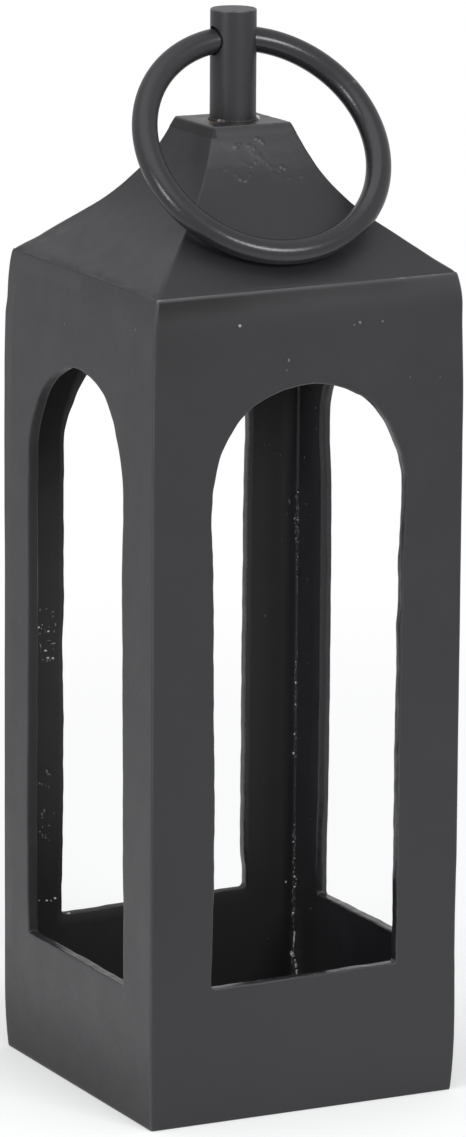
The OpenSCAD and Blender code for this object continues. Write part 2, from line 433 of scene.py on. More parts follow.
def coat(name, shade=1.0, rough=0.0, seed=0.0, wear=1.0, marks=(), scorched=(), dull=None):
    """The blackened coat. Broad patches and fine mottling move the colour between coat and pale. The
    wear attribute rubs edges towards the metal and, on some edges, paints highlights with the same
    colour; below 0 it darkens towards the soot colour, which is soot and painted shade; and the filed
    attribute makes them smoother. Marks are small pits given as (x, y, z, radius, strength), each a light
    core painted as a glint and ringed by a painted shadow, scorched are brown patches given the same
    way, and dull is a band of heights over which the coat goes matt."""
    look = bpy.context.scene.lantern_finish
    material = bpy.data.materials.new(name)
    tree = Tree(material)
    here = tree.add("ShaderNodeTexCoord", out="Object")
    place = tree.add("ShaderNodeMapping", None, {"Vector": here, "Location": (seed, 2.3 * seed, 1.7 * seed)})
    worn_and_painted_light, filed = tree.told("wear"), tree.told("filed")
    patches = tree.noise(place, 17.0, 4.0, 0.55, 0.4)
    blotches = tree.noise(place, 70.0, 5.0, 0.6, 0.2)
    specks = tree.noise(place, 420.0, 4.0, 0.65)
    fine = tree.noise(place, 1900.0, 2.0)
    tone = 0.5 + look.mottle * ((patches - 0.5) * 1.9 + (blotches - 0.5) * 1.1 + (specks - 0.5) * 0.7)
    base = tree.mix(tone.clamped(), *(opaque([shade * c for c in tint]) for tint in (look.coat, look.pale)))
    # soot and painted shade: below 0 the attribute darkens the coat towards the soot colour
    inside = (0 - worn_and_painted_light).clamped()
    base = tree.mix(inside, base, opaque(look.soot_and_painted_shade))
    # edge wear and painted highlights alike lighten towards the worn colour
    rubbed_and_painted_light = (worn_and_painted_light * wear * (0.55 + 1.3 * (specks - 0.35))).clamped()
    base = tree.mix(rubbed_and_painted_light * 0.85, base, opaque(look.worn_and_painted_light))
    lift = specks * 0.35 + fine * 0.3 + blotches * 0.8
    gloss = look.roughness + rough + (blotches - 0.5) * 0.16 + (specks - 0.5) * 0.12
    gloss = gloss + inside * 0.4 - filed * 0.2
    if dull:
        height = tree.add("ShaderNodeSeparateXYZ", None, {0: here}, out="Z")
        gloss = gloss + height.between(*dull) * 0.24
    # each pit: a painted shadow darkens a ring round it and a painted glint lights its core
    for x, y, z, radius, strength in marks:
        close = tree.near(here, (x, y, z), radius)
        core = (close + (fine - 0.5) * 0.8).between(0.55, 0.95)
        base = tree.mix(close * 0.5, base, opaque(look.soot_and_painted_shade))
        base = tree.mix(core * strength, base, opaque([2.4 * c for c in look.worn_and_painted_light]))
        lift = lift + core * 2.0 - close * 0.6
    for x, y, z, radius, strength in scorched:
        stain = tree.near(here, (x, y, z), radius) * (0.3 + 1.3 * blotches)
        base = tree.mix((stain * strength).clamped(), base, opaque(look.scorch))
    tree.surface(base, gloss, lift, 0.55, 0.16 * MM)
    return material


def bead_metal(name, scorch=0.0):
    """Weld metal under the coat: soot in its hollows, a painted glint, nearly white and smoother, on the
    crests where the wear attribute says, and a coarse bump."""
    look = bpy.context.scene.lantern_finish
    material = bpy.data.materials.new(name)
    tree = Tree(material)
    place = tree.add("ShaderNodeTexCoord", out="Object")
    lumps = tree.noise(place, 650.0, 4.0, 0.6)
    broad = tree.noise(place, 90.0, 3.0)
    base = tree.mix((0.45 + 1.2 * (lumps - 0.5)).clamped(), opaque(look.soot_and_painted_shade), opaque(look.pale))
    base = tree.mix((broad.between(0.35, 0.7) * scorch).clamped(), base, opaque(look.scorch))
    # painted glint: the crests take a colour nearly five times the worn colour
    painted_glint = (tree.told("wear") * (0.7 + 1.4 * (lumps - 0.35))).clamped()
    base = tree.mix(painted_glint, base, opaque([4.8 * c for c in look.worn_and_painted_light]))
    tree.surface(base, 0.6 - 0.3 * painted_glint, lumps, 0.5, 0.2 * MM)
    return material


# ---------------------------------------------------------------- shapes of the body

# How far each upright corner stands in from a straight line, by height, from the front left corner on
STRAY = (
    ((0, 0.30, 0.3095), (0.0, 0.0, 0.0)),
    ((0, 0.030, 0.045, 0.055, 0.065, 0.080, 0.092, 0.245, 0.272, 0.290, 0.302, 0.3095),
     (0.0, 0.0, -0.10, -0.22, -0.22, -0.12, 0.0, 0.0, 0.20, 0.17, 0.42, 0.40)),
    ((0, 0.090, 0.160, 0.3095), (0.0, -0.25, -0.05, 0.0)),
    ((0, 0.010, 0.130, 0.185, 0.215, 0.255, 0.270, 0.285, 0.292, 0.300, 0.3095),
     (-0.05, 0.0, 0.0, -0.08, 0.0, 0.0, 0.10, 0.12, -0.30, -0.35, 0.0)),
)
# How far each corner of the eave is raised
LEAN = (-0.3, 1.45, 0.6, 0.5)
# How round each upright corner is, as a share of the usual rounding
ARRIS = (1.0, 0.5, 0.8, 0.5)
# How far each jamb stands out from a straight line, by height: the left one and the right one,
# seen from outside
JAMBS = (
    (
        ((51, 93, 125, 150, 170, 205, 213, 220, 228, 235, 243, 257, 264, 274),
         (-0.6, -1.35, -1.5, -1.0, -0.8, -0.5, -0.2, 0.2, 0.4, 0.1, -0.2, 0.3, 0.9, 0.2)),
        ((51, 68, 90, 145, 160, 180, 190, 205, 212, 220, 228, 236, 243, 250, 258, 266, 274),
         (-0.7, -0.6, -0.65, -0.6, -0.3, -0.45, 0.1, -0.1, 0.3, 0.6, 1.1, 0.9, 0.4, 0.1, 0.4, 0.8, 0.2)),
    ),
    (
        ((51, 80, 130, 190, 235, 255, 274), (0.3, -0.2, 0.2, 0.6, 0.2, -0.2, 0.1)),
        ((51, 60, 75, 92, 130, 200, 216, 232, 247, 262, 274),
         (0.4, 0.5, 0.2, -0.3, -0.7, -0.4, 0.0, 1.6, 2.3, 1.2, 0.1)),
    ),
    (
        ((51, 56, 66, 80, 120, 200, 235, 255, 274), (-1.0, -1.0, -1.9, -2.1, -1.9, -1.6, -1.0, -0.6, 0.0)),
        ((51, 56, 70, 95, 135, 146, 154, 160, 168, 200, 236, 243, 250, 262, 274),
         (2.2, 2.0, 1.7, 1.35, 1.3, 1.6, 1.9, 1.7, 1.25, 1.3, 1.2, 0.6, 0.1, 0.3, 0.0)),
    ),
    (
        ((51, 63, 102, 141, 179, 210, 237, 255, 274), (2.6, 3.4, 3.7, 3.1, 2.9, 2.8, 2.4, 1.4, 0.1)),
        ((51, 83, 90, 98, 128, 143, 158, 173, 188, 203, 210, 218, 226, 233, 240, 247, 254, 261, 267, 274),
         (1.0, 0.8, 0.4, 0.1, 0.1, -0.2, -0.6, -0.75, -1.1, -1.55,
          -1.2, -0.8, -0.45, -0.3, -0.4, -0.8, -0.8, 0.2, 0.8, 0.1)),
    ),
)
# Small bright pits in each wall, each a light core painted as a glint and ringed by a painted shadow,
# in millimetres across and up: (across, up, radius, strength)
PITS = (
    ((-28.4, 297.8, 1.6, 0.9), (-8.7, 283.7, 1.6, 0.30), (20.4, 295.5, 1.5, 0.42), (18.2, 294.8, 1.2, 0.2),
     (29.7, 295.2, 1.4, 0.25), (41.2, 273.8, 1.2, 0.12), (53.7, 272.8, 1.2, 0.1), (-9.4, 280.2, 1.3, 0.12)),
    ((21, 128, 1.4, 0.4), (-45, 232, 1.2, 0.3)),
    ((-31, 292, 1.5, 0.5), (48, 160, 1.3, 0.3)),
    ((47.2, 296.3, 1.2, 0.25), (-12, 289, 1.2, 0.2)),
)
# How worn the top edge of each wall is along it, in millimetres across; below 0 it is dark instead.
# The front's high values paint a highlight along its eave, and the left's values below 0 are painted
# shade that hides the lit edge and darkens its eave.
EAVE_WEAR_AND_PAINTED_LIGHT = (
    ((-61, -57, -30, 0, 20, 36, 38.5, 41, 45, 50, 55, 61),
     (1.7, 0.85, 0.55, 0.6, 0.45, 0.5, 1.6, 0.5, 1.0, 1.1, 0.8, 0.6)),
    ((-61, -20, 15, 61), (0.6, 0.3, 0.6, 0.4)),
    ((-61, -30, 20, 61), (0.3, 0.6, 0.2, 0.4)),
    ((-61, -50, -20, 0, 25, 45, 61), (-0.2, -0.3, -0.2, -0.35, -0.3, -0.2, 0.2)),
)
# How far each sill dips below its height, at its left end, middle and right end
SILLS = ((-0.6, -0.9, -1.5), (-0.6, -0.7, -0.6), (-0.7, -0.2, 0.6), (1.0, 0.7, 0.9))


def stray(corner, z):
    """How far an upright corner stands out at height z: its own smooth steps and slight waves."""
    places, steps = STRAY[corner % 4]
    slight = waves(z, SEEDS["corner"] + corner % 4, (0.17, 0.07, 0.029), (0.015, 0.01, 0.008)) - 0.033
    return (eased(z, places, steps) + slight) * MM


def settled(points, s):
    """Lifts points by the lean of the eave: each corner's own rise, shared over the plan, growing from
    nothing at the arches to the eave and dying out up the roof."""
    x, y, z = points[..., 0] / (s.eave / 2), points[..., 1] / (s.eave / 2), points[..., 2]
    shares = ((1 - x) * (1 - y), (1 + x) * (1 - y), (1 + x) * (1 + y), (1 - x) * (1 + y))
    rise = sum(share / 4 * lift for share, lift in zip(shares, LEAN)) * MM
    height = eased(z, (s.arch - 6 * MM, s.body, s.body + 34 * MM), (0, 1, 0))
    return np.stack([points[..., 0], points[..., 1], z + rise * height], -1)


def wall_line(z, s):
    """Half width of the walls at height z: straight, less three squares: the swell of the foot, the
    lean of the shoulder and the turn of the brow."""
    shoulder = s.body - s.shoulder
    brow = s.body - s.brow_height
    return (
        s.belly / 2
        - (s.belly - s.base) / 2 * np.maximum(0, 1 - z / s.foot) ** 2
        - (s.belly - s.brow) / 2 * np.maximum(0, (z - shoulder) / s.shoulder) ** 2
        - (s.brow - s.eave) / 2 * np.maximum(0, (z - brow) / s.brow_height) ** 2
    )


def wall_edge(z, s):
    """The wall line with its bottom edge rounded by a quarter circle and its top edge eased over."""
    small = 0.5 * MM
    low = np.clip(z, 0, small)
    bottom = small - np.sqrt(small**2 - (small - low) ** 2)
    top = 0.18 * MM * np.clip((z - s.body + 0.6 * MM) / (0.6 * MM), 0, 1) ** 2
    return wall_line(z, s) - bottom - top


def rounding(e, radius):
    """How far a rounded corner drops below the flat, a distance e from the corner."""
    e = np.clip(e, 0, radius)
    return radius - np.sqrt(radius**2 - (radius - e) ** 2)


def wall_middle(u, z, side, s):
    """A wall's face without its dents: its edge line, plus the stray of its two corners shared across."""
    edge = wall_edge(z, s)
    left, right = stray(side, z), stray(side + 1, z)
    return edge + left + (right - left) * eased(u / edge, (-1, 1), (0, 1))


def wall_out(u, z, side, s):
    """Outer surface of a wall: its middle face, plus dents that die out at the corners, held within the
    widest part of the body, and less the rounding of the upright corners."""
    reach = wall_edge(z, s) + np.where(u < 0, stray(side, z), stray(side + 1, z)) - np.abs(u)
    calm = eased(reach, (0, 12 * MM), (0, 1)) * eased(z, (0, 8 * MM, s.body - 8 * MM, s.body), (0, 1, 1, 0))
    broad = dents(u, z, SEEDS["wall_broad"] + side, 60 * MM, 0.09 * MM)
    small = dents(u, z, SEEDS["wall_small"] + side, 22 * MM, 0.03 * MM)
    soft = s.arris * np.where(u < 0, ARRIS[side], ARRIS[(side + 1) % 4])
    bare = np.minimum(wall_middle(u, z, side, s) + (broad + small - 0.05 * MM) * calm, s.belly / 2)
    return bare - rounding(reach, soft)


def window_line(side, s, counts):
    """Outline of a window and its outward directions, anticlockwise in four stretches: sill, right
    jamb with the foot of the arch, crown, left jamb. A rectangle with a half circle on it and small
    round lower corners; each point is then moved by the strays of jambs and sill and by slight waves."""
    half, spring = s.window / 2, s.arch - s.window / 2
    small = (1.0, 1.2, 1.8, 1.0)[side] * MM

    def bend(x, z, radius, start, end):
        angle = np.radians(np.linspace(start, end, 60))
        return np.stack([x + radius * np.cos(angle), z + radius * np.sin(angle), angle])

    low = s.sill + small
    stretches = (
        (bend(small - half, low, small, -135, -90), bend(half - small, low, small, -90, -45)),
        (bend(half - small, low, small, -45, 0), bend(0, spring, half, 0, 50)),
        (bend(0, spring, half, 50, 130),),
        (bend(0, spring, half, 130, 180), bend(small - half, low, small, 180, 225)),
    )
    lines = []
    for stretch, count in zip(stretches, counts):
        line = np.concatenate(stretch, 1)
        run = np.concatenate([[0.0], np.cumsum(np.hypot(*np.diff(line[:2])) + HAIR)])
        t = spread(count + 1)[:-1] * run[-1]
        lines.append(np.stack([np.interp(t, run, row) for row in line]))
    x, z, a = np.concatenate(lines, 1)
    out_right = eased(z / MM, *JAMBS[side][1]) * MM
    out_left = eased(z / MM, *JAMBS[side][0]) * MM
    dip = eased(x / half, (-1, 0, 1), SILLS[side]) * MM * eased(z, (s.sill, s.sill + 60 * MM), (1, 0))
    above = z > spring
    share = np.clip((x / half + 1) / 2, 0, 1)
    reach = np.where(x > 0, out_right, out_left)
    sideways = np.where(above, np.cos(a) * reach, share * out_right - (1 - share) * out_left)
    upwards = np.where(above, np.sin(a) * reach, -dip)
    run = np.concatenate([[0.0], np.cumsum(np.hypot(np.diff(x), np.diff(z)))])
    loop = run[-1] + np.hypot(x[0] - x[-1], z[0] - z[-1])
    lengths, heights = loop / np.array([23, 47, 83]), (0.08 * MM, 0.05 * MM, 0.03 * MM)
    slight = waves(run, SEEDS["window"] + side, lengths, heights)
    return x + sideways + np.cos(a) * slight, z + upwards + np.sin(a) * slight, np.cos(a), np.sin(a)


def frame_line(side, s, e, low, high, counts):
    """A rectangle inside a wall's outline, e in from its corners, from height low to high, in the same
    four stretches as the window's outline."""
    across, up = [], []
    for stretch, count in enumerate(counts):
        t = spread(count + 1)[:-1]
        rise = (high - low) * t
        z = (low + 0 * t, low + rise, high + 0 * t, high - rise)[stretch]
        left, right = (stray(corner, z) + wall_edge(z, s) - e for corner in (side, side + 1))
        wide = left + right
        across.append((wide * t - left, right, wide * (1 - t) - left, -left)[stretch])
        up.append(z)
    return np.concatenate(across), np.concatenate(up)


def painted_shade_and_scuffs(side, u, v, scuffs, s):
    """Painted shade and scuffs on a wall's outer face: the front one is darker just under the eave,
    towards its left edge and at its top left, all painted shade, and the left one is darker towards its
    foot and scuffed along its back edge."""
    if side == 0:
        under_eave = eased(v, (s.body - 10 * MM, s.body - 1.5 * MM), (0, 1))
        under_eave = under_eave * eased(u, (0.025, 0.055), (1, 0.45))
        near_left = eased(u, (-0.058, 0.0), (1, 0)) * (0.17 + 0.12 * eased(v, (0.045, 0.09), (0, 1)))
        top_left = eased(v, (0.265, 0.29), (0, 1)) * eased(u, (-0.058, 0.03), (1, 0.2))
        return -0.5 * under_eave - near_left - 0.22 * top_left
    if side == 3:
        return scuffs * (u < 0) * (v > 40 * MM) - 0.42 * eased(v, (0, 40 * MM), (1, 0))
    return 0.0


def soot_and_painted_shade(side, u, v):
    """How dark a wall's inner face is made, all painted shade: more so beside the arch, less on the
    right wall and more low on one half of the back wall; near the back right seam it varies, and goes
    below 0 there, painted light that lifts the corner.
    """
    much = (0.5, 0.12, 0.5, 0.5)[side] + 0.45 * eased(v, (0.205, 0.262), (0, 1))
    if side == 1:
        much = much - 0.09 - 0.14 * eased(u, (0.042, 0.059), (0, 1))
    if side == 2:
        much = much + 0.4 * eased(v, (0.050, 0.105), (1, 0)) * (u > 0)
        much = much + eased(u, (-0.0590, -0.0555, -0.0505, -0.0430), (-0.8, -0.3, 0.3, 0.16))
    return np.minimum(much, 1)


def wall_skin(side, s):
    """A wall plate as one closed sheet, like a picture frame: its columns run round the window, and its
    rows go over the outer face from the mitre to the window, through the jamb, back over the inner
    face and along the mitre."""
    counts = (64, 170, 64, 170)
    x, z, dx, dz = window_line(side, s, counts)
    lip = s.lip * np.ones(len(x))
    if side == 3:
        to_right = np.clip(dx, 0, 1)
        lip = lip + 1.3 * MM * to_right * eased(z, (0.05, 0.08, 0.22, 0.26), (0.2, 1, 1, 0.1))
        x = x - 0.55 * lip * to_right
    rows, wear, filed = [], [], []

    def row(u, v, out, worn_and_painted_light=0.0, smooth=0.0):
        rows.append(turned(u, v, out, side))
        wear.append(np.broadcast_to(worn_and_painted_light, u.shape))
        filed.append(np.broadcast_to(smooth, u.shape))

    # the outer face: its rounded edge, a few rows beside it, and the rest in even steps
    run = np.linspace(0, 0.8, len(x))  # metres round the frame, near enough
    scuff = 0.6 + waves(run, SEEDS["scuff"] + side, (0.21, 0.09, 0.035), (0.2, 0.15, 0.1))
    for bend, top, worn_and_painted_light in ((45, 0, 1.0), (33, 0.15, 0.95), (21, 0.3, 0.6), (10, 0.45, 0.25), (0, 0.62, 0.0)):
        drop = 1 - math.sin(math.radians(bend))
        u, v = frame_line(side, s, s.arris * drop, 0.5 * MM * drop, s.body - top * MM, counts)
        # along the eave: a painted highlight on the front wall's top edge, painted shade on the left one's
        painted_light_and_wear = eased(u / MM, *EAVE_WEAR_AND_PAINTED_LIGHT[side])
        row(u, v, wall_out(u, v, side, s), worn_and_painted_light * np.where(v > s.body - 1 * MM, painted_light_and_wear, 0.4 * scuff))
    for e in (1.5 * MM, 3 * MM, 5.5 * MM):
        u, v = frame_line(side, s, e, e, s.body - e, counts)
        row(u, v, wall_out(u, v, side, s), painted_shade_and_scuffs(side, u, v, 0.16 * scuff, s))
    edge_u, edge_v = u, v
    lip_u, lip_v = x + dx * (lip + 1 * MM), z + dz * (lip + 1 * MM)
    for t in (*np.linspace(0, 1, 15)[1:-1] ** 0.9, 0.965, 1.0):
        u, v = edge_u + (lip_u - edge_u) * t, edge_v + (lip_v - edge_v) * t
        row(u, v, wall_out(u, v, side, s), painted_shade_and_scuffs(side, u, v, 0.0, s))

    # the jamb, between an outer and an inner lip. Painted shade darkens the left wall's far jamb, the
    # right wall's back jamb and the sills of the back and left walls, and a painted highlight lines the
    # far jamb's inner lip over a short height.
    far_jamb = np.clip(-2 * dx, 0, 1) * (side == 3)
    back_jamb = np.clip(2 * dx, 0, 1) * (side == 1)
    dull_and_shaded_sill = np.clip(-2 * dz, 0, 1) * (0, 0, 4.0, eased(x, (-0.030, -0.005), (1.0, 0.35)))[side]
    shaded = back_jamb * eased(z, (0.05, 0.2, 0.26), (0.3, 0.2, 0.45))
    for bend in np.radians([0, 18, 36, 54, 72, 90]):
        u, v = x + dx * lip * (1 - math.sin(bend)), z + dz * lip * (1 - math.sin(bend))
        worn_and_painted_light = 0.35 * math.sin(2 * min(bend, np.pi / 4)) * scuff
        worn_and_painted_light = worn_and_painted_light - (worn_and_painted_light + 0.5) * far_jamb * math.sin(bend) - 0.4 * shaded * bend
        row(u, v, wall_out(u, v, side, s) - lip * (1 - math.cos(bend)), worn_and_painted_light, bend)
    inner_lip = (0.5 + 1.3 * back_jamb) * MM
    thick = s.wall + dents(x, z, SEEDS["jamb"] + side, 9 * MM, 0.05 * MM)
    face = wall_out(x, z, side, s)
    bow = waves(run, SEEDS["bow"] + side, (0.05, 0.021, 0.009), (0.1, 0.07, 0.04)) * MM
    for share in (0.35, 0.7):
        depth = lip + (thick - inner_lip - lip) * share
        worn_and_painted_light = -0.5 * far_jamb - 0.15 * dull_and_shaded_sill - shaded * (0.6 + 0.4 * share)
        row(x + dx * bow * share, z + dz * bow * share, face - depth, worn_and_painted_light, 1.0 - far_jamb - dull_and_shaded_sill)
    # painted highlight: a lit line along the far jamb's inner lip, between these heights
    line = eased(z, (0.172, 0.181, 0.192, 0.197, 0.215, 0.222), (0, 1.4, 1.4, 0.5, 0.4, 0))
    for bend in np.radians([90, 60, 30, 0]):
        move = inner_lip * (1 - math.sin(bend))
        worn_and_painted_light = 0.3 * math.sin(2 * bend) * (1 - back_jamb) - shaded * math.sin(bend) - 0.15 * dull_and_shaded_sill
        worn_and_painted_light = worn_and_painted_light + far_jamb * (line * math.sin(2 * bend) - 0.45)
        out = face - thick + inner_lip * (1 - math.cos(bend))
        row(x + dx * move, z + dz * move, out, worn_and_painted_light, 0.8 - 0.8 * far_jamb)

    # the inner face and the mitre
    window_u, window_v = x + dx * inner_lip, z + dz * inner_lip
    corner_u, corner_v = frame_line(side, s, s.wall, 0.0, s.body, counts)
    window_n, corner_n = face - thick, wall_middle(corner_u, corner_v, side, s) - s.wall
    for t in np.linspace(0, 1, 12)[1:]:
        u, v = window_u + (corner_u - window_u) * t, window_v + (corner_v - window_v) * t
        plain = wall_middle(u, v, side, s) - s.wall
        blend = window_n + (corner_n - window_n) * t
        rough = dents(u, v, SEEDS["inner_face"] + side, 12 * MM, 0.07 * MM) * min(1.0, 4 * (1 - t))
        row(u, v, 0.3 * blend + 0.7 * plain + rough if t < 1 else plain, -soot_and_painted_shade(side, u, v))
    for e in (2.2 * MM, 0.7 * MM):
        u, v = frame_line(side, s, e, 0.0, s.body, counts)
        row(u, v, wall_middle(u, v, side, s) - e, -0.55)
    return Skin().grid(np.stack(rows), np.stack(wear), np.clip(np.stack(filed), 0, 1), around=True, up=True)


# ---------------------------------------------------------------- shapes of the roof


def roof_line(s, inset, steps=24):
    """Section of a roof plate's face, from the eave to the cap: a straight skirt, an arc that is hollow
    outwards and touches skirt and neck, and a straight neck, inset square to itself. Gives distances
    from the axis and heights above the eave."""
    cap_half, cap_top = corner_of("cap_plate", True).x, corner_of("cap_plate", True).z
    neck_high = corner_of("roof_front", True).z - s.body
    top_half = cap_half - (cap_top - s.body - neck_high) / math.tan(s.neck)
    high = cap_top - s.body
    eave = s.eave / 2
    knee_high = (eave - top_half - high / math.tan(s.neck)) / (1 / math.tan(s.skirt) - 1 / math.tan(s.neck))
    knee = eave - knee_high / math.tan(s.skirt)
    tilt, turn = (s.neck + s.skirt) / 2, s.neck - s.skirt
    far = s.sweep / math.cos(turn / 2)
    centre_r, centre_h = knee + far * math.sin(tilt), knee_high + far * math.cos(tilt)
    angle = s.skirt + turn * np.linspace(0, 1, steps)
    r = centre_r - (s.sweep + inset) * np.sin(angle)
    h = centre_h - (s.sweep + inset) * np.cos(angle)
    r = np.concatenate([[eave - inset / math.sin(s.skirt)], r, [cap_half - inset / math.sin(s.neck)]])
    h = np.concatenate([[0.0], h, [neck_high]])
    return r, h


def along(r, h, shares):
    """Points at the given shares of a line's length."""
    run = np.concatenate([[0.0], np.cumsum(np.hypot(np.diff(r), np.diff(h)))])
    return np.interp(shares * run[-1], run, r), np.interp(shares * run[-1], run, h)


# Weld marks left under the coat on the neck of the front roof plate: drops and loops, in millimetres
# across and above the eave
DROPS = (
    (-8.2, 46.3, 0.9, 0.7, 0.30), (-6.6, 47.1, 0.5, 0.4, 0.20), (0.6, 48.7, 0.6, 0.45, 0.24),
    (2.0, 48.0, 0.6, 0.5, 0.26), (2.9, 47.0, 0.5, 0.5, 0.22), (-14.0, 38.6, 0.5, 0.4, 0.22),
    (-12.6, 39.3, 0.4, 0.35, 0.14), (-9.3, 35.1, 0.6, 0.4, 0.28), (-7.1, 34.6, 0.55, 0.4, 0.30),
    (-4.9, 36.2, 0.6, 0.5, 0.24), (-5.9, 35.2, 0.5, 0.4, 0.2), (8.3, 38.3, 0.55, 0.5, 0.32),
    (9.8, 37.7, 0.45, 0.5, 0.24), (7.3, 37.2, 0.5, 0.4, 0.18), (15.8, 34.6, 1.0, 0.35, 0.16),
    (10.5, 34.4, 1.0, 0.35, 0.14), (3.4, 39.5, 0.4, 0.7, 0.16), (4.4, 38.4, 0.4, 0.5, 0.14),
    (-1.5, 40.6, 0.5, 0.5, 0.16), (-3.4, 39.2, 0.6, 0.5, 0.16), (-10.8, 36.9, 1.1, 0.5, 0.12),
    (-3.0, 46.4, 0.9, 0.5, 0.13), (-1.0, 45.2, 0.6, 0.8, 0.12), (15.4, 36.0, 1.2, 0.3, 0.08),
)
LOOPS = (
    (-4.0, 43.5, 3.6, 0.7, 0.05, 3.4, 5.0), (-2.2, 42.2, 2.8, 0.7, 0.06, -1.0, 0.9),
    (0.2, 45.2, 2.7, 0.7, 0.05, 2.8, 5.0), (-7.4, 37.4, 2.8, 0.6, 0.05, 3.3, 5.2),
    (6.0, 38.2, 2.4, 0.6, 0.05, 3.6, 5.6), (-0.2, 40.2, 2.2, 0.6, 0.05, -0.2, 1.5),
)

# Smudges beside the ground seam at the left end of the left roof plate
SMUDGES = (
    (-51, 6.5, 2.6, 1.3, 0.24), (-46, 4.6, 3.0, 1.2, 0.2), (-56, 2.6, 2.2, 1.0, 0.2),
    (-40, 8.5, 3.5, 1.6, 0.16),
)
# The shallow hollow in the back roof plate where the ring lands
LANDING = ((-13, 9.9, 11, 5, -0.45),)
# The ground seam along the eave on each side, in millimetres: where, how far it wanders, how wide and
# how deep
EAVE_SEAMS = ((0.55, 1, 0.28, 0.13), (0.55, 1, 0.32, 0.13), (0.6, 1, 0.36, 0.15), (0.9, 3.4, 0.95, 0.24))


